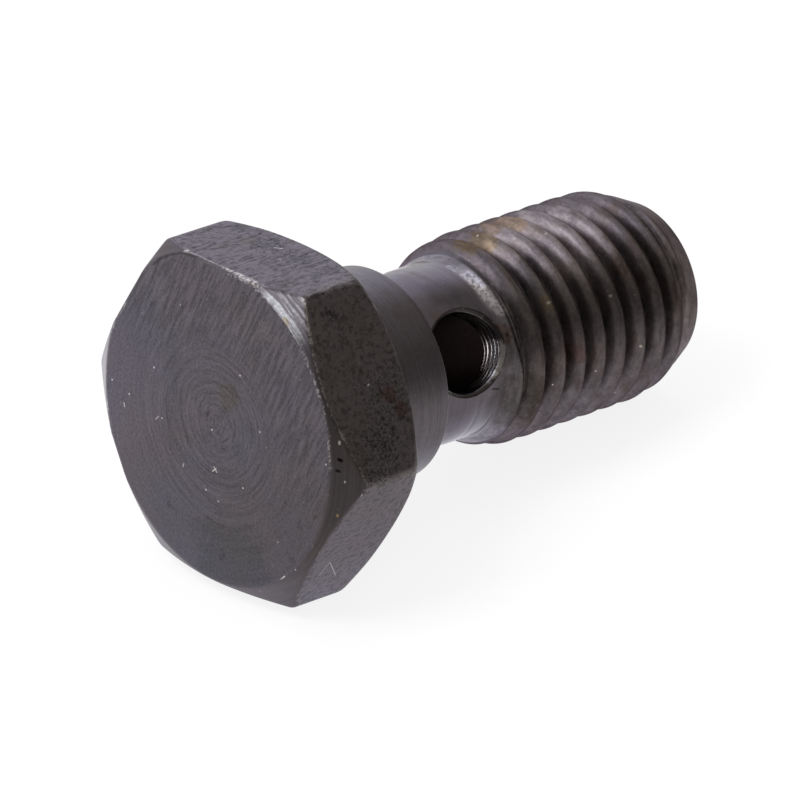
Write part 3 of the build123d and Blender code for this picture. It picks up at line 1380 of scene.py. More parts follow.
@dataclass(frozen=True)
class ChamferSteel(OxideSteel):
    """The turned chamfer round the face, ridged and bright where the tool tore it."""

    torn: Point = (0.35, -4.75, 8.05)
    torn_reach: float = 2.3
    torn_core: float = 0.45
    torn_roughness: float = 0.3
    torn_grain: Grain = Grain(1.8, 4.0, 0.6)
    torn_edge: Ramp = Ramp(0.3, 0.65, 0.55, 1.0)
    torn_relief: Ramp = Ramp(0.0, 1.0, 0.15, 0.6)
    silver: Colour = (0.46, 0.475, 0.47)
    speckle_grain: Grain = Grain(8.0, 4.0, 0.75)
    speckle: Ramp = Ramp(0.35, 0.65, 0.7, 1.25)
    ridge_pitch: float = 0.2
    ridge_share: float = 0.25
    ridge_edge: Ramp = Ramp(0.25, 0.8)
    wander_grain: Grain = Grain(1.1, 4.0, 0.65)
    wander: Ramp = Ramp(0.2, 0.8, -0.07, 0.07)
    rough_share: float = 0.3
    rough_grain: Grain = Grain(5.5, 4.0, 0.7)
    line_share: float = 0.45
    line_density: float = 3.0
    line_grain: Grain = Grain(1.6, 3.0, 0.6, 0.1)
    line_edge: Ramp = Ramp(0.36, 0.6)
    fine_density: float = 7.0
    fine_grain: Grain = Grain(1.6, 4.0, 0.7)
    fine_shade: Ramp = Ramp(0.3, 0.7, 0.85, 1.12)
    lit_part: Ramp = Ramp(8.9, 9.6, 1.0, 0.5)
    rim_part: Ramp = Ramp(9.06, 9.18, 0.75, 0.0)
    rim_fray: float = 0.3
    dull_gain: float = 1.1

    def surface(self, graph: Graph, place: BoltPlace) -> Looks:
        """Fine lines round the face, and bright torn ridges at one corner.

        Args:
            graph: the material's graph.
            place: where the point lies on the bolt.

        Returns:
            The colour, the roughness and the relief.
        """
        wander = graph.grained(place.whole, self.wander_grain, self.wander)
        phase = graph.times(graph.plus(place.radius, wander), 2 * math.pi / self.ridge_pitch)
        wave = graph.times(graph.plus(graph.math("SINE", phase), 1.0), 0.5)
        rough = graph.noise(place.whole, self.rough_grain)
        line_place = place.ringed(graph, place.radius, self.line_density)
        lines = graph.grained(line_place, self.line_grain, self.line_edge)
        ridges = graph.plus(graph.times(wave, self.ridge_share), graph.times(rough, self.rough_share))
        ridges = graph.plus(ridges, graph.times(lines, self.line_share))

        from_middle = graph.join(place.station, place.across, place.up)
        torn = graph.near(from_middle, self.torn, self.torn_reach, self.torn_reach * self.torn_core)
        torn = graph.times(torn, graph.grained(place.whole, self.torn_grain, self.torn_edge))
        lit = graph.times(graph.spread(ridges, self.ridge_edge), graph.spread(place.radius, self.lit_part))
        frayed = graph.plus(place.radius, graph.times(rough, self.rim_fray))
        lit = graph.greater(lit, graph.spread(frayed, self.rim_part))
        speckle = graph.grained(place.whole, self.speckle_grain, self.speckle)
        bright = graph.mix(lit, graph.shaded(self.tone, self.dull_gain), graph.shaded(self.silver, speckle))
        fine_place = place.ringed(graph, place.radius, self.fine_density)
        fine = graph.grained(fine_place, self.fine_grain, self.fine_shade)
        colour = graph.mix(torn, graph.shaded(self.tone, fine), bright)
        roughness = graph.spread(torn, Ramp(0.0, 1.0, self.roughness, self.torn_roughness))
        return Looks(colour, roughness, graph.times(ridges, graph.spread(torn, self.torn_relief)))


@dataclass(frozen=True)
class BarSteel(OxideSteel):
    """The flats, as the bar was rolled: grained, dimpled and pitted in places."""

    flat_edge: Ramp = Ramp(8.2, 8.8)
    dimpled_azimuth: float = 210.0
    dimple_grain: Grain = Grain(3.4, 3.0, 0.65)
    dimple_depth: Ramp = Ramp(0.0, 1.0, 0.4, 1.0)
    dimple_shade: Ramp = Ramp(0.34, 0.54, 0.58, 1.08)
    grained_azimuth: float = 90.0
    streak_density: Point = (0.9, 3.0, 3.0)
    streak_grain: Grain = Grain(1.3, 4.0, 0.62, 0.3)
    streak_depth: tuple[float, float] = (0.3, 1.35)
    streak_shade: Ramp = Ramp(0.36, 0.56, -0.26, 0.12)
    olive_azimuth: float = 150.0
    olive: Colour = (0.166, 0.150, 0.159)
    pit_share: float = 0.34
    pit_depth: float = 0.8
    pit_grain: Grain = Grain(6.5, 5.0, 0.75, 0.3)
    pit_edge: Ramp = Ramp(0.31, 0.39)
    pit_core: float = 0.2
    pit_fields: tuple[Patch, ...] = ()

    def on_flat(self, graph: Graph, place: BoltPlace, azimuth: float) -> Socket:
        """One on the flat that faces an azimuth, and nought on the others."""
        way = (0.0, math.cos(math.radians(azimuth)), math.sin(math.radians(azimuth)))
        return graph.spread(graph.along(place.whole, way), self.flat_edge)

    def sound(self, graph: Graph, place: BoltPlace) -> Socket:
        """Nought in a pit and one beside it: pits lie closer in their fields.

        Args:
            graph: the material's graph.
            place: where the point lies on the bolt.

        Returns:
            How sound the skin of the bar is.
        """
        pitting = graph.noise(place.whole, self.pit_grain)
        for pits in self.pit_fields:
            here = graph.near(place.whole, pits.place, pits.reach, pits.reach * self.pit_core)
            pitting = graph.math("SUBTRACT", pitting, graph.times(here, pits.share))
        return graph.spread(pitting, self.pit_edge)

    def surface(self, graph: Graph, place: BoltPlace) -> Looks:
        """Dimples, streaks along the bar and dark pits.

        Args:
            graph: the material's graph.
            place: where the point lies on the bolt.

        Returns:
            The colour, the roughness and the relief.
        """
        measures = (place.station, place.across, place.up)
        streak_place = graph.join(*map(graph.times, measures, self.streak_density))
        streaks = graph.noise(streak_place, self.streak_grain)
        dimples = graph.noise(place.whole, self.dimple_grain)
        sound = self.sound(graph, place)
        on_dimpled = self.on_flat(graph, place, self.dimpled_azimuth)
        streaked = graph.between(self.on_flat(graph, place, self.grained_azimuth), *self.streak_depth)
        streaked = graph.between(on_dimpled, streaked, 0.0)
        height = graph.times(dimples, graph.spread(on_dimpled, self.dimple_depth))
        height = graph.plus(height, graph.times(streaks, streaked))
        height = graph.plus(height, graph.times(sound, self.pit_depth))
        shade = graph.times(graph.spread(streaks, self.streak_shade), streaked)
        shade = graph.plus(graph.spread(dimples, self.dimple_shade), shade)
        shade = graph.times(shade, graph.spread(sound, Ramp(0.0, 1.0, self.pit_share, 1.0)))
        tone = graph.mix(self.on_flat(graph, place, self.olive_azimuth), self.tone, self.olive)
        return Looks(graph.shaded(tone, shade), self.roughness, height)


@dataclass(frozen=True)
class TurnedSteel(OxideSteel):
    """Round stretches with fine turning lines."""

    line_density: float = 7.0
    line_grain: Grain = Grain(1.4, 5.0, 0.7)
    line_range: tuple[float, float] = (0.3, 0.75)
    contrast: float = 0.17
    mottle_grain: Grain = Grain(3.0, 4.0, 0.6)
    mottle: Ramp = Ramp(0.3, 0.7, -0.06, 0.06)

    def surface(self, graph: Graph, place: BoltPlace) -> Looks:
        """Fine lines round the bolt.

        Args:
            graph: the material's graph.
            place: where the point lies on the bolt.

        Returns:
            The colour, the roughness and the relief.
        """
        lines = graph.noise(place.ringed(graph, place.station, self.line_density), self.line_grain)
        shade = graph.spread(lines, Ramp(*self.line_range, 1 - self.contrast, 1 + self.contrast))
        shade = graph.plus(shade, graph.grained(place.whole, self.mottle_grain, self.mottle))
        return Looks(graph.shaded(self.tone, shade), self.roughness, lines)


@dataclass(frozen=True)
class ShankSteel(OxideSteel):
    """The smooth neck, the beaten shoulder and the cut thread behind it."""

    neck_roughness: float = 0.2
    line_density: float = 6.0
    line_grain: Grain = Grain(1.4, 5.0, 0.7)
    line_shade: Ramp = Ramp(0.3, 0.75, 0.90, 1.10)
    line_relief: float = 0.35
    beaten_tone: Colour = (0.20, 0.185, 0.21)
    beaten_start: Ramp = Ramp(16.25, 16.5)
    beaten_end: Ramp = Ramp(16.95, 17.1, 1.0, 0.0)
    beaten_roughness: float = 0.7
    dent_grain: Grain = Grain(3.6, 4.0, 0.6)
    dent_relief: float = 1.6
    thread_start: Ramp = Ramp(17.0, 17.3)
    tip_band: tuple[float, float] = (29.2, 29.6)
    tip_gain: float = 1.7
    # Dark groove colour: partly oxide in the grooves, partly painted shade.
    groove_oxide_and_shade: Colour = (0.050, 0.042, 0.040)
    crest_tone: Colour = (0.134, 0.118, 0.125)
    crest_edge: Ramp = Ramp(4.85, 5.25)
    crest_fray: Ramp = Ramp(0.3, 0.7, -0.12, 0.12)
    cut_density: float = 2.2
    cut_grain: Grain = Grain(2.0, 5.0, 0.65)
    cut_share: float = 0.6
    cloud_grain: Grain = Grain(4.2, 5.0, 0.75)
    cloud_share: float = 0.4
    mottle: Ramp = Ramp(0.36, 0.64, 0.68, 1.28)

    def cut(self, graph: Graph, place: BoltPlace, grain: Socket, mottle: Socket) -> Socket:
        """The thread's colour: dark in its grooves, partly oxide and partly painted shade, and paler along
        the worn crests and at the tip.

        Args:
            graph: the material's graph.
            place: where the point lies on the bolt.
            grain: the noise that frays the grooves' edges.
            mottle: how the thread's shade changes from place to place.

        Returns:
            The colour.
        """
        reach = graph.plus(place.radius, graph.spread(grain, self.crest_fray))
        at_tip = graph.spread(place.station, Ramp(*self.tip_band))
        crest = graph.greater(graph.spread(reach, self.crest_edge), at_tip)
        thread = graph.shaded(graph.mix(crest, self.groove_oxide_and_shade, self.crest_tone), mottle)
        return graph.shaded(thread, graph.spread(place.station, Ramp(*self.tip_band, 1.0, self.tip_gain)))

    def surface(self, graph: Graph, place: BoltPlace) -> Looks:
        """Fine lines on the neck, dents on the shoulder and grain along the thread.

        Args:
            graph: the material's graph.
            place: where the point lies on the bolt.

        Returns:
            The colour, the roughness and the relief.
        """
        lines = graph.noise(place.ringed(graph, place.station, self.line_density), self.line_grain)
        neck = graph.shaded(self.tone, graph.spread(lines, self.line_shade))
        dents = graph.noise(place.whole, self.dent_grain)
        beaten = graph.times(
            graph.spread(place.station, self.beaten_start), graph.spread(place.station, self.beaten_end)
        )
        grain_place = place.ringed(graph, place.station, self.cut_density, self.cut_density)
        grain = graph.noise(grain_place, self.cut_grain)
        cloud = graph.times(graph.noise(place.whole, self.cloud_grain), self.cloud_share)
        mottle = graph.spread(graph.plus(cloud, graph.times(grain, self.cut_share)), self.mottle)
        threaded = graph.spread(place.station, self.thread_start)
        plain = graph.mix(beaten, neck, graph.shaded(self.beaten_tone, mottle))
        colour = graph.mix(threaded, plain, self.cut(graph, place, grain, mottle))
        rough = graph.greater(threaded, graph.times(beaten, self.beaten_roughness))
        roughness = graph.spread(rough, Ramp(0.0, 1.0, self.neck_roughness, self.roughness))
        smooth = graph.times(lines, self.line_relief)
        height = graph.mix(beaten, graph.mix(threaded, smooth, grain), graph.times(dents, self.dent_relief))
        return Looks(colour, roughness, height)


@dataclass(frozen=True)
class DrilledSteel(OxideSteel):
    """The walls of the holes: plain near the neck, with painted shade further in."""

    # painted shade, deeper inside the holes
    dark: Colour = (0.11, 0.094, 0.090)
    lit_part: Ramp = Ramp(3.7, 4.3)
    # painted shade on the rim where the hole meets the neck
    rim_shade: Ramp = Ramp(4.6, 4.72, 1.0, 0.4)
    grain: Grain = Grain(5.0, 4.0, 0.6)

    def surface(self, graph: Graph, place: BoltPlace) -> Looks:
        """Walls with painted shade that deepens inward, and a painted dark rim where the hole meets the
        neck.

        Args:
            graph: the material's graph.
            place: where the point lies on the bolt.

        Returns:
            The colour, the roughness and the relief.
        """
        walls = graph.mix(graph.spread(place.radius, self.lit_part), self.dark, self.tone)
        colour = graph.shaded(walls, graph.spread(place.radius, self.rim_shade))
        return Looks(colour, self.roughness, graph.noise(place.whole, self.grain))


# ---------------------------------------------------------------- studio


@dataclass(frozen=True)
class Lamp:
    """A square lamp that points at the bolt."""

    name: str
    place: Point
    size: float
    power: float
    aim: Point = (0.0, 0.0, 0.008)

    def hang(self) -> None:
        """Hangs the lamp. Metal mirrors the tent in its place."""
        data = bpy.data.lights.new(self.name, "AREA")
        data.size = self.size
        data.energy = self.power
        lamp = bpy.data.objects.new(self.name, data)
        lamp.location = self.place
        lamp.visible_glossy = False
        way = Vector(self.aim) - Vector(self.place)
        lamp.rotation_euler = way.to_track_quat("-Z", "Y").to_euler()
        bpy.context.scene.collection.objects.link(lamp)


@dataclass(frozen=True)
class Glow:
    """The tint of what the metal mirrors: cool where it is bright and warm where it is dim."""

    cool: Colour = (0.99, 0.98, 1.05)
    warm: Colour = (1.08, 1.0, 0.87)
    change: Ramp = Ramp(0.3, 0.9)

    def tinted(self, graph: Graph, level: Socket) -> Socket:
        """The colour of cloth or paper at a level of brightness."""
        return graph.mix(graph.spread(level, self.change), self.warm, self.cool)


@dataclass(frozen=True)
class Floor:
    """White paper under the bolt. Its sizes and bands are in metres."""

    half_size: float = 3.0
    drop: float = 0.00002
    colour: Colour = (0.16, 0.16, 0.16)
    camera_glow: float = 0.85
    white: Colour = (1.0, 1.0, 1.0)
    glow: Glow = Glow()
    before_bolt: Ramp = Ramp(-0.045, -0.006, 0.30, 0.56)
    under_bolt: Ramp = Ramp(-0.0095, -0.0025, 0.0, 0.40)
    behind_bolt: Ramp = Ramp(0.004, 0.025, 0.0, 0.6)
    head_end: Ramp = Ramp(-0.030, -0.012, 0.46, 1.0)
    tip_end: Ramp = Ramp(0.012, 0.030, 1.0, 0.4)

    def mirrored_level(self, graph: Graph) -> Socket:
        """How bright the paper is in the metal: dim in front and towards both ends.

        Args:
            graph: the material's graph.

        Returns:
            The level, where one is white.
        """
        x, y, _ = graph.add("SeparateXYZ", {0: graph.add("TexCoord").outputs["Object"]}).outputs
        level = graph.plus(graph.spread(y, self.before_bolt), graph.spread(y, self.under_bolt))
        level = graph.plus(level, graph.spread(y, self.behind_bolt))
        level = graph.times(level, graph.spread(x, self.head_end))
        return graph.times(level, graph.spread(x, self.tip_end))

    def lay(self) -> bpy.types.Object:
        """Lays the floor: lit and shadowed as paper is, with a glow that lifts it to white.

        Returns:
            The floor.
        """
        half = self.half_size
        outline = [(-half, -half, 0), (half, -half, 0), (half, half, 0), (-half, half, 0)]
        mesh = bpy.data.meshes.new("floor")
        mesh.from_pydata(outline, [], [(0, 1, 2, 3)])
        floor = bpy.data.objects.new("floor", mesh)
        floor.location.z = -self.drop
        bpy.context.scene.collection.objects.link(floor)
        graph = Graph("white_paper")
        paper = graph.add("BsdfDiffuse", {"Color": self.colour})
        path = graph.add("LightPath").outputs
        level = self.mirrored_level(graph)
        mirrored = graph.greater(path["Is Glossy Ray"], path["Is Transmission Ray"])
        seen = graph.times(path["Is Camera Ray"], self.camera_glow)
        strength = graph.plus(seen, graph.times(mirrored, level))
        colour = graph.mix(path["Is Camera Ray"], self.glow.tinted(graph, level), self.white)
        glow = graph.add("Emission", {"Color": colour, "Strength": strength})
        both = graph.add("AddShader", {0: paper.outputs[0], 1: glow.outputs[0]})
        mesh.materials.append(graph.finish(both))
        return floor


@dataclass(frozen=True)
class Tent:
    """A tent of cloth round the bolt, lit behind it and dim in front. Its ways are unit vectors."""

    radius: float = 1.5
    segments: int = 64
    rings: int = 32
    glow: Glow = Glow()
    front_level: Ramp = Ramp(0.25, 1.0, 0.175, 0.42)
    upper_left: Point = (-0.47, 0.17, 0.866)
    upper_left_level: Ramp = Ramp(0.78, 0.97, 0.0, 0.42)
    dark_side: Ramp = Ramp(0.70, 0.90)
    dark_height: Ramp = Ramp(0.2, 0.55, 1.0, 0.0)
    dark_level: float = 0.10
    back_lean: float = 0.5
    back_edge: Ramp = Ramp(0.33, 0.85)
    back_level: Ramp = Ramp(0.5, 0.9, 1.12, 0.80)
    soft_box: Point = (-0.80, 0.373, 0.469)
    soft_box_edge: Ramp = Ramp(0.915, 0.985)
    soft_box_level: float = 2.3

    def level(self, graph: Graph) -> Socket:
        """How bright the cloth is in each direction.

        Args:
            graph: the material's graph.

        Returns:
            The level, where one is white.
        """
        way = graph.vector("NORMALIZE", graph.add("TexCoord").outputs["Object"]).outputs[0]
        x, y, z = graph.add("SeparateXYZ", {0: way}).outputs
        upper_left = graph.spread(graph.along(way, self.upper_left), self.upper_left_level)
        front = graph.plus(graph.spread(z, self.front_level), upper_left)
        dark_end = graph.times(graph.spread(x, self.dark_side), graph.spread(z, self.dark_height))
        front = graph.between(dark_end, front, self.dark_level)
        behind = graph.spread(graph.plus(y, graph.times(z, self.back_lean)), self.back_edge)
        level = graph.between(behind, front, graph.spread(z, self.back_level))
        soft_box = graph.spread(graph.along(way, self.soft_box), self.soft_box_edge)
        return graph.between(soft_box, level, self.soft_box_level)

    def pitch(self) -> bpy.types.Object:
        """Stands the tent round the bolt, where only reflections see it.

        Returns:
            The tent.
        """
        mesh = bpy.data.meshes.new("tent")
        work = bmesh.new()
        bmesh.ops.create_uvsphere(work, u_segments=self.segments, v_segments=self.rings, radius=self.radius)
        work.to_mesh(mesh)
        work.free()
        tent = bpy.data.objects.new("tent", mesh)
        bpy.context.scene.collection.objects.link(tent)
        graph = Graph("tent_cloth")
        level = self.level(graph)
        cloth = graph.add("Emission", {"Color": self.glow.tinted(graph, level), "Strength": level})
        mesh.materials.append(graph.finish(cloth))
        tent.visible_camera = False
        tent.visible_shadow = False
        tent.visible_diffuse = False
        return tent


@dataclass(frozen=True)
class Surround:
    """Soft light from all round, which shows white behind the bolt."""

    level: float = 0.55
    white: tuple[float, float, float, float] = (1.0, 1.0, 1.0, 1.0)

    def light(self) -> None:
        """Makes the scene's world."""
        world = bpy.data.worlds.new("surround")
        bpy.context.scene.world = world
        world.use_nodes = True
        nodes, links = world.node_tree.nodes, world.node_tree.links
        nodes.clear()
        path = nodes.new("ShaderNodeLightPath").outputs
        light, white = (nodes.new("ShaderNodeBackground") for _ in range(2))
        light.inputs["Strength"].default_value = self.level
        for background in (light, white):
            background.inputs["Color"].default_value = self.white
        shown = path["Is Camera Ray"]
        for ray in ("Is Glossy Ray", "Is Transmission Ray"):
            either = nodes.new("ShaderNodeMath")
            either.operation = "MAXIMUM"
            links.new(shown, either.inputs[0])
            links.new(path[ray], either.inputs[1])
            shown = either.outputs[0]
        mix = nodes.new("ShaderNodeMixShader")
        for number, output in enumerate((shown, light.outputs[0], white.outputs[0])):
            links.new(output, mix.inputs[number])
        links.new(mix.outputs[0], nodes.new("ShaderNodeOutputWorld").inputs[0])


@dataclass(frozen=True)
class Studio:
    """A pale floor, a pale surround, soft lamps and a tent of cloth that metal reflects."""

    floor: Floor = Floor()
    tent: Tent = Tent()
    surround: Surround = Surround()
    lamps: tuple[Lamp, ...] = (
        Lamp("overhead_lamp", (0.25, 0.35, 1.2), 1.4, 5.0),
        Lamp("left_lamp", (-0.50, 0.12, 0.86), 0.45, 5.0),
    )

    def set_up(self) -> list[bpy.types.Object]:
        """Sets up the whole studio.

        Returns:
            Its pieces that have a mesh.
        """
        pieces = [self.floor.lay(), self.tent.pitch()]
        self.surround.light()
        for lamp in self.lamps:
            lamp.hang()
        return pieces


@dataclass(frozen=True)
class Viewpoint:
    """The camera: where it stands, where it looks and how far it leans."""

    place: Point = (-0.341183, -0.386375, 0.295495)
    aim: Point = (0.000123, 0.002719, 0.003771)
    lean: float = 4.0486
    lens: float = 495.0
    sensor: float = 36.0
    nearest: float = 0.01
    furthest: float = 20.0

    def set_up(self) -> None:
        """Makes the camera and hands it to the scene."""
        data = bpy.data.cameras.new("camera")
        data.lens = self.lens
        data.sensor_width = self.sensor
        data.clip_start = self.nearest
        data.clip_end = self.furthest
        camera = bpy.data.objects.new("camera", data)
        way = Vector(self.aim) - Vector(self.place)
        turn = way.to_track_quat("-Z", "Y").to_matrix().to_4x4()
        lean = Matrix.Rotation(-math.radians(self.lean), 4, "Z")
        camera.matrix_world = Matrix.Translation(self.place) @ turn @ lean
        bpy.context.scene.collection.objects.link(camera)
        bpy.context.scene.camera = camera


# ---------------------------------------------------------------- the marks on this bolt


GOLD = (0.42, 0.31, 0.17)
RUST = (0.085, 0.048, 0.036)
RED_RUST = (0.11, 0.055, 0.050)
BARE_SPECK = (0.72, 0.70, 0.68)
DUSTY_SPECK = (0.5, 0.47, 0.42)
# painted shade, standing in for the shadow of a fine groove at the face's edge
PAINTED_SHADE_LINE = (0.045, 0.04, 0.04)
SHADOW_LINE = (0.03, 0.027, 0.027)
BLACK_CUT = (0.02, 0.018, 0.018)
BLACK_NICK = (0.01, 0.01, 0.01)


def on_bolt(station: float, radius: float, azimuth: float) -> Point:
    """The place at a station, a radius and an azimuth in degrees."""
    angle = math.radians(azimuth)
    return (float(station), float(radius * math.cos(angle)), float(radius * math.sin(angle)))


def ring_marks(
    stops: list[Point], width: float, colour: Colour, share: float, pieces: int = 4, ragged: bool = False
) -> tuple[ScratchOrPaintedLine, ...]:
    """Lays short line marks end to end round the bolt, such as rubbed streaks and painted lines of
    highlight and shade.

    Args:
        stops: the (station, radius, azimuth in degrees) of each place on the way.
        width: how wide the mark is.
        colour: what it shows.
        share: how strongly it shows.
        pieces: how many line marks go between two stops.
        ragged: whether they are broken up.

    Returns:
        The line marks, in order.
    """
    between = [
        start + (end - start) * part / pieces
        for start, end in zip(np.array(stops), np.array(stops[1:]))
        for part in range(pieces)
    ]
    places = [on_bolt(*stop) for stop in (*between, stops[-1])]
    pairs = zip(places, places[1:])
    return tuple(ScratchOrPaintedLine(start, end, width, colour, share, ragged) for start, end in pairs)


def edge_shade_line() -> tuple[ScratchOrPaintedLine, ...]:
    """The painted shade line along the upper part of the face's edge, where a fine groove runs.

    Returns:
        Its stretches, in order.
    """
    stops = (
        (5.54, 7.35), (5.08, 7.81), (4.63, 8.10), (4.15, 8.37), (3.64, 8.61), (3.21, 8.75), (2.31, 8.83),
    )
    pairs = zip(stops, stops[1:])
    return tuple(ScratchOrPaintedLine((0.0, *start), (0.0, *end), 0.13, PAINTED_SHADE_LINE, 0.65) for start, end in pairs)


def edge_chips() -> tuple[ScratchOrPaintedLine, ...]:
    """The chips along the edge between the chamfer and the top flat.

    Returns:
        The chips.
    """
    station, height = 0.2, 8.84
    chips = ((3.32, 3.0, 0.2, 0.9), (3.0, 0.3, 0.08, 0.6), (0.3, -1.0, 0.17, 0.8), (-0.8, -2.6, 0.24, 0.9))
    return tuple(
        ScratchOrPaintedLine((station, start, height), (station, end, height), width, BARE_SPECK, share, ragged=True)
        for start, end, width, share in chips
    )


def face_scratches() -> tuple[ScratchOrPaintedLine, ...]:
    """The nicks and specks on the face.

    Returns:
        The marks.
    """
    nicks = (
        ScratchOrPaintedLine((0, 7.48, -1.38), (0, 7.42, -1.58), 0.05, BARE_SPECK, 0.7),
        ScratchOrPaintedLine((0, 4.95, -1.45), (0, 4.75, -1.2), 0.04, BARE_SPECK, 0.6),
        ScratchOrPaintedLine((0, 2.7, -3.4), (0, 2.63, -3.2), 0.045, BARE_SPECK, 0.6),
        ScratchOrPaintedLine((0, 0.4, -2.85), (0, 0.12, -2.6), 0.04, BARE_SPECK),
        ScratchOrPaintedLine((0, 0.3, -2.55), (0, 0.05, -2.8), 0.04, BARE_SPECK),
        ScratchOrPaintedLine((0, -5.10, -7.24), (0, -5.46, -6.84), 0.06, BARE_SPECK),
    )
    specks = (
        (8.48, -0.38), (7.09, -0.73), (5.24, 1.46), (0.56, -0.5), (-3.1, 0.66),
        (0.84, -4.08), (-2.0, -2.97), (-8.23, 0.62), (-1.43, 3.33),
    )
    return nicks + tuple(ScratchOrPaintedLine((0, y, z), (0.02, y, z), 0.075, BARE_SPECK) for y, z in specks)


def shoulder_marks_and_painted_light() -> tuple[ScratchOrPaintedLine, ...]:
    """The rubbed streak on the shoulder, partly burnished metal and partly a painted highlight, with a
    painted shadow line and the gold line behind it.

    Returns:
        The marks, from the lowest layer up.
    """
    shadow = [(16.76, 5.25, 92), (16.8, 5.27, 130), (16.85, 5.3, 157), (17.15, 5.45, 183), (17.3, 5.5, 200)]
    return (
        # Painted highlight over rubbed metal: the pale lavender strokes stand in for a lamp's reflection on
        # the burnished shoulder.
        *ring_marks([(16.4, 5.02, 100), (16.45, 5.05, 132)], 0.55, (0.30, 0.285, 0.32), 0.75, 5),
        *ring_marks([(16.25, 4.96, 92), (16.4, 5.02, 106)], 0.34, (0.38, 0.36, 0.40), 0.8, 2, ragged=True),
        *ring_marks([(16.4, 5.02, 106), (16.45, 5.05, 126)], 0.45, (0.74, 0.72, 0.79), 0.8, ragged=True),
        *ring_marks([(16.45, 5.05, 126), (16.7, 5.12, 138)], 0.4, (0.52, 0.50, 0.55), 0.8, 2, ragged=True),
        # Painted shadow along the start of the thread's first groove.
        *ring_marks(shadow, 0.13, SHADOW_LINE, 0.85),
        *ring_marks([(16.95, 5.38, 98), (17.1, 5.45, 118)], 0.09, (0.62, 0.56, 0.42), 0.9, 3),
    )


def thread_specks() -> tuple[ScratchOrPaintedLine, ...]:
    """The dust caught on the thread and the shoulder.

    Returns:
        The specks.
    """
    length, width = 0.16, 0.115
    specks = (
        (18.86, 0.62, 5.72), (22.07, -1.39, 5.68), (23.53, -4.8, 3.07), (23.77, -4.95, 2.82),
        (25.36, -5.79, -0.31), (28.2, -3.03, 5.0), (17.5, -5.31, 2.21), (19.39, -4.65, 3.47),
    )
    return tuple(
        ScratchOrPaintedLine((start, y, z), (start + length, y, z), width, DUSTY_SPECK, 0.85) for start, y, z in specks
    )


# ---------------------------------------------------------------- the finishes of this bolt


def face_steel() -> OxideSteel:
    """Describes the finish of the head's front.

    Returns:
        The finish.
    """
    return FacedSteel(
        name="faced_front",
        brown_share=0.12,
        dust=Flecks(share=0.03),
        rubbed=(Patch((0.1, -7.6, 5.2), 4.4), Patch((0.1, -1.8, 8.6), 2.6)),
        stains_and_painted_light=(
            # lighter and bluer towards the face's left, and darker towards its bottom
            StainOrPaintedLight((0.0, 9.5, -0.3), 8.5, (0.165, 0.149, 0.178), 0.9, 0.35),
            StainOrPaintedLight((0.0, -1.5, -8.0), 5.5, (0.108, 0.108, 0.122), 0.7, 0.7),
            StainOrPaintedLight((0.0, -0.6, 1.8), 1.4, (0.125, 0.112, 0.088), 0.5, 1.6),
        ),
        scratches_and_painted_lines=face_scratches() + edge_shade_line() + edge_chips(),
    )


def chamfer_steel() -> OxideSteel:
    """Describes the finish of the chamfer round the face.

    Returns:
        The finish.
    """
    return ChamferSteel(
        name="head_chamfer",
        tone=(0.110, 0.098, 0.107),
        roughness=0.34,
        rubbed=(Patch((0.2, -1.8, 8.7), 2.6), Patch((0.3, -4.9, 8.0), 2.4), Patch((0.1, -7.6, 5.2), 4.4)),
        stains_and_painted_light=(
            StainOrPaintedLight((0.1, -4.6, 7.4), 0.55, (0.075, 0.052, 0.032), 0.8, 8.0),
            StainOrPaintedLight((0.15, -2.0, 8.7), 0.6, (0.13, 0.10, 0.07), 0.55, 8.0),
        ),
        scratches_and_painted_lines=(
            ScratchOrPaintedLine((0.28, -8.92, 1.07), (0.33, -9.03, 1.04), 0.15, BLACK_NICK, 1.0),
            ScratchOrPaintedLine((0.20, -8.86, 0.44), (0.27, -8.98, 0.42), 0.12, BLACK_NICK),
            ScratchOrPaintedLine((0.31, -8.86, 2.05), (0.31, -8.86, 1.95), 0.1, BARE_SPECK),
            ScratchOrPaintedLine((0.66, -9.46, 1.85), (0.66, -9.46, 1.79), 0.08, BARE_SPECK, 0.7),
            ScratchOrPaintedLine((0.45, -9.26, -0.12), (0.45, -9.26, -0.16), 0.08, BARE_SPECK, 0.7),
            ScratchOrPaintedLine((0.36, -8.9, -2.14), (0.36, -8.9, -2.2), 0.1, GOLD),
            ScratchOrPaintedLine((0.87, -4.98, 8.87), (0.82, -5.43, 8.5), 0.16, BARE_SPECK, ragged=True),
            ScratchOrPaintedLine((0.77, -5.57, 8.31), (0.46, -6.1, 7.25), 0.12, BARE_SPECK, 0.8, ragged=True),
            *edge_shade_line(),
            *edge_chips(),
        ),
    )


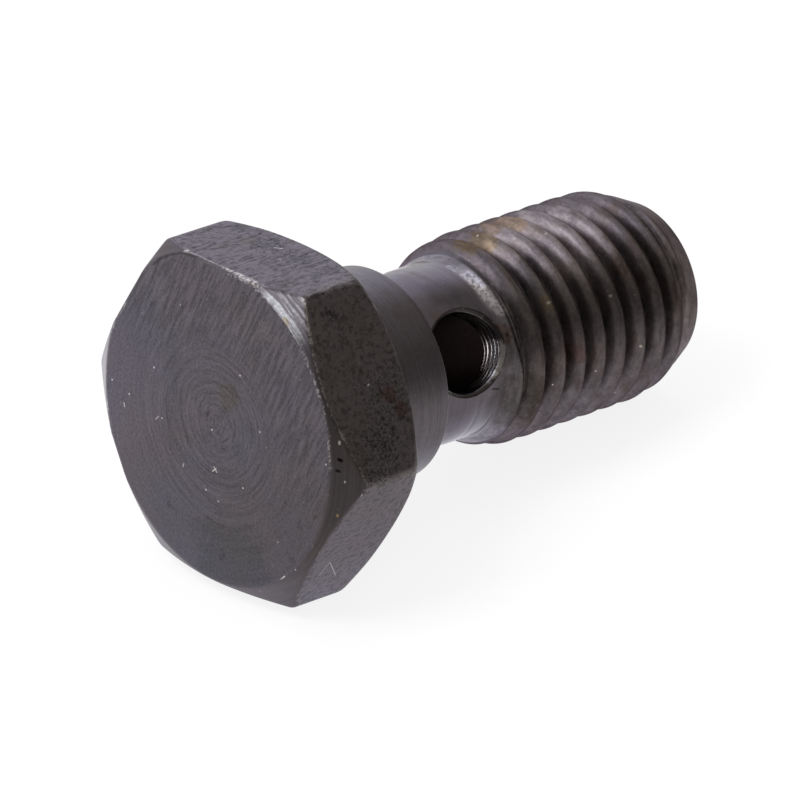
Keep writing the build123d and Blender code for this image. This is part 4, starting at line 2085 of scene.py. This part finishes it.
def flats_steel() -> OxideSteel:
    """Describes the finish of the six flats.

    Returns:
        The finish.
    """
    return BarSteel(
        name="rolled_flats",
        tone=(0.155, 0.139, 0.168),
        roughness=0.42,
        relief=1.0,
        relief_depth=0.07,
        rubbed=(Patch((0.1, 2.9, 8.85), 1.0), Patch((0.1, -1.6, 8.85), 2.0)),
        pit_fields=(
            Patch((4.6, -8.4, 3.2), 3.8, 0.12),
            Patch((2.2, -9.8, 0.9), 2.8, 0.13),
            Patch((2.3, -5.9, 7.7), 0.6, 0.2),
            Patch((4.1, 1.2, 8.85), 1.8, 0.09),
        ),
        stains_and_painted_light=(
            StainOrPaintedLight((4.3, -8.3, 3.5), 0.9, RED_RUST, 0.6, 3.0),
            StainOrPaintedLight((4.8, -8.7, 2.7), 0.8, RED_RUST, 0.6, 3.0),
            StainOrPaintedLight((3.6, 2.2, 8.85), 0.7, (0.12, 0.11, 0.08), 0.5, 3.0),
        ),
        scratches_and_painted_lines=(
            ScratchOrPaintedLine((1.51, -6.56, -6.78), (1.74, -7.06, -5.92), 0.045, BARE_SPECK, 0.5),
            ScratchOrPaintedLine((1.82, -7.01, -6.01), (2.95, -6.26, -7.3), 0.045, BARE_SPECK, 0.5),
            ScratchOrPaintedLine((0.75, -10.0, -0.82), (0.95, -10.0, -0.8), 0.12, BARE_SPECK, 0.7),
            ScratchOrPaintedLine((3.12, -7.89, 4.18), (3.2, -7.87, 4.2), 0.075, BARE_SPECK),
            ScratchOrPaintedLine((4.13, 0.66, 8.85), (4.35, 0.35, 8.85), 0.06, BARE_SPECK),
            ScratchOrPaintedLine((3.27, -0.66, 8.85), (3.29, -0.66, 8.85), 0.06, BARE_SPECK),
            *edge_chips(),
        ),
    )


def collar_steel() -> OxideSteel:
    """Describes the finish of the collar behind the head.

    Returns:
        The finish.
    """
    return TurnedSteel(
        name="turned_collar",
        roughness=0.34,
        relief=0.2,
        rubbed=(Patch((11.1, -5.5, 2.0), 11.0, 0.9),),
    )


def shank_steel() -> OxideSteel:
    """Describes the finish of the neck, the shoulder and the thread.

    Returns:
        The finish.
    """
    return ShankSteel(
        name="neck_and_thread",
        tone=(0.143, 0.129, 0.155),
        roughness=0.31,
        brown=(0.085, 0.058, 0.045),
        brown_share=0.55,
        brown_grain=Grain(0.5, 5.0, 0.62),
        dust=Flecks(share=0.3),
        stains_and_painted_light=(
            # painted highlight: a broad pale lavender patch over the top of the thread, where the light
            # falls on the crests
            StainOrPaintedLight((22.5, -1.2, 7.0), 7.0, (0.27, 0.245, 0.285), 1.0, 0.6),
            # painted shade: a darker patch on the lower front of the shoulder, standing in for a dim
            # reflection
            StainOrPaintedLight((17.0, -5.1, -1.6), 3.4, (0.078, 0.069, 0.075), 0.9, 0.15),
            StainOrPaintedLight((18.4, 0.1, 5.9), 2.2, (0.155, 0.118, 0.085), 0.8),
            StainOrPaintedLight((21.5, 1.2, 5.7), 2.4, (0.145, 0.105, 0.08)),
            StainOrPaintedLight((16.3, -4.3, 2.3), 1.1, RUST, 0.6),
            # painted shade: a darker patch on the neck along the top of the cross hole's mouth, standing in
            # for a dim reflection
            StainOrPaintedLight((14.2, -1.9, 4.5), 2.0, (0.108, 0.098, 0.118), 0.8, 0.3),
            StainOrPaintedLight((12.75, -2.9, 3.9), 0.45, (0.16, 0.10, 0.07), 0.8, 5.0),
            StainOrPaintedLight((19.5, -4.6, 3.4), 1.0, (0.20, 0.15, 0.09), 0.5),
            StainOrPaintedLight((25.2, -4.2, 3.9), 1.1, (0.12, 0.082, 0.06), 0.5),
            StainOrPaintedLight((20.6, -5.6, 0.4), 1.3, (0.10, 0.045, 0.045), 0.45),
        ),
        scratches_and_painted_lines=(
            ScratchOrPaintedLine((16.62, -4.2, 2.5), (16.76, -4.3, 2.2), 0.06, BARE_SPECK),
            ScratchOrPaintedLine((16.75, -4.5, 2.05), (16.6, -4.45, 2.3), 0.12, BLACK_CUT, 0.8),
            ScratchOrPaintedLine((15.35, -4.83, -0.4), (15.82, -4.82, -0.53), 0.09, BLACK_CUT),
            *shoulder_marks_and_painted_light(),
            *thread_specks(),
            ScratchOrPaintedLine((12.73, -4.84, -0.3), (12.88, -4.67, -1.3), 0.05, (0.34, 0.32, 0.33), 0.7),
        ),
    )


def hole_steel() -> OxideSteel:
    """Describes the finish of the cross hole and the bore.

    Returns:
        The finish.
    """
    return DrilledSteel(
        name="drilled_walls",
        tone=(0.125, 0.115, 0.12),
        roughness=0.27,
        # painted reflection: a near-white patch on the cross hole's wall, standing in for the reflection of
        # a soft light
        stains_and_painted_light=(StainOrPaintedLight((16.15, -4.3, 0.75), 2.1, (0.95, 0.94, 0.98), 0.95, 2.0),),
    )


def make_finishes(bolt: BanjoBolt) -> dict[Zone, bpy.types.Material]:
    """Builds the finish of each zone.

    Args:
        bolt: the bolt that they are for.

    Returns:
        One material for each zone.
    """
    shank = shank_steel()
    kinds = {
        Zone.FACE: face_steel(),
        Zone.CHAMFER: chamfer_steel(),
        Zone.FLATS: flats_steel(),
        Zone.SEAT: OxideSteel(name="turned_seat"),
        Zone.COLLAR: collar_steel(),
        Zone.NECK: shank,
        Zone.THREAD: replace(shank, name="oiled_thread", edge_tint=(0.45, 0.42, 0.43)),
        Zone.HOLE: hole_steel(),
    }
    centres = {zone: bolt.head.face_centre for zone in (Zone.FACE, Zone.CHAMFER)}
    lie = bolt.lie()
    return {zone: kind.make(lie, centres.get(zone, (0.0, 0.0))) for zone, kind in kinds.items()}


def main() -> None:
    """Builds the camera, the studio and the bolt, and reports each piece."""
    logging.basicConfig(level=logging.INFO, format="%(message)s")
    log = logging.getLogger("banjo_bolt")
    Viewpoint().set_up()
    stage = Studio().set_up()
    bolt = BanjoBolt()
    for piece in (*stage, bolt.build(make_finishes(bolt))):
        log.info("%s: %d faces", piece.name, len(piece.data.polygons))
    bpy.context.scene.view_settings.view_transform = "Standard"


if __name__ == "__main__":
    main()
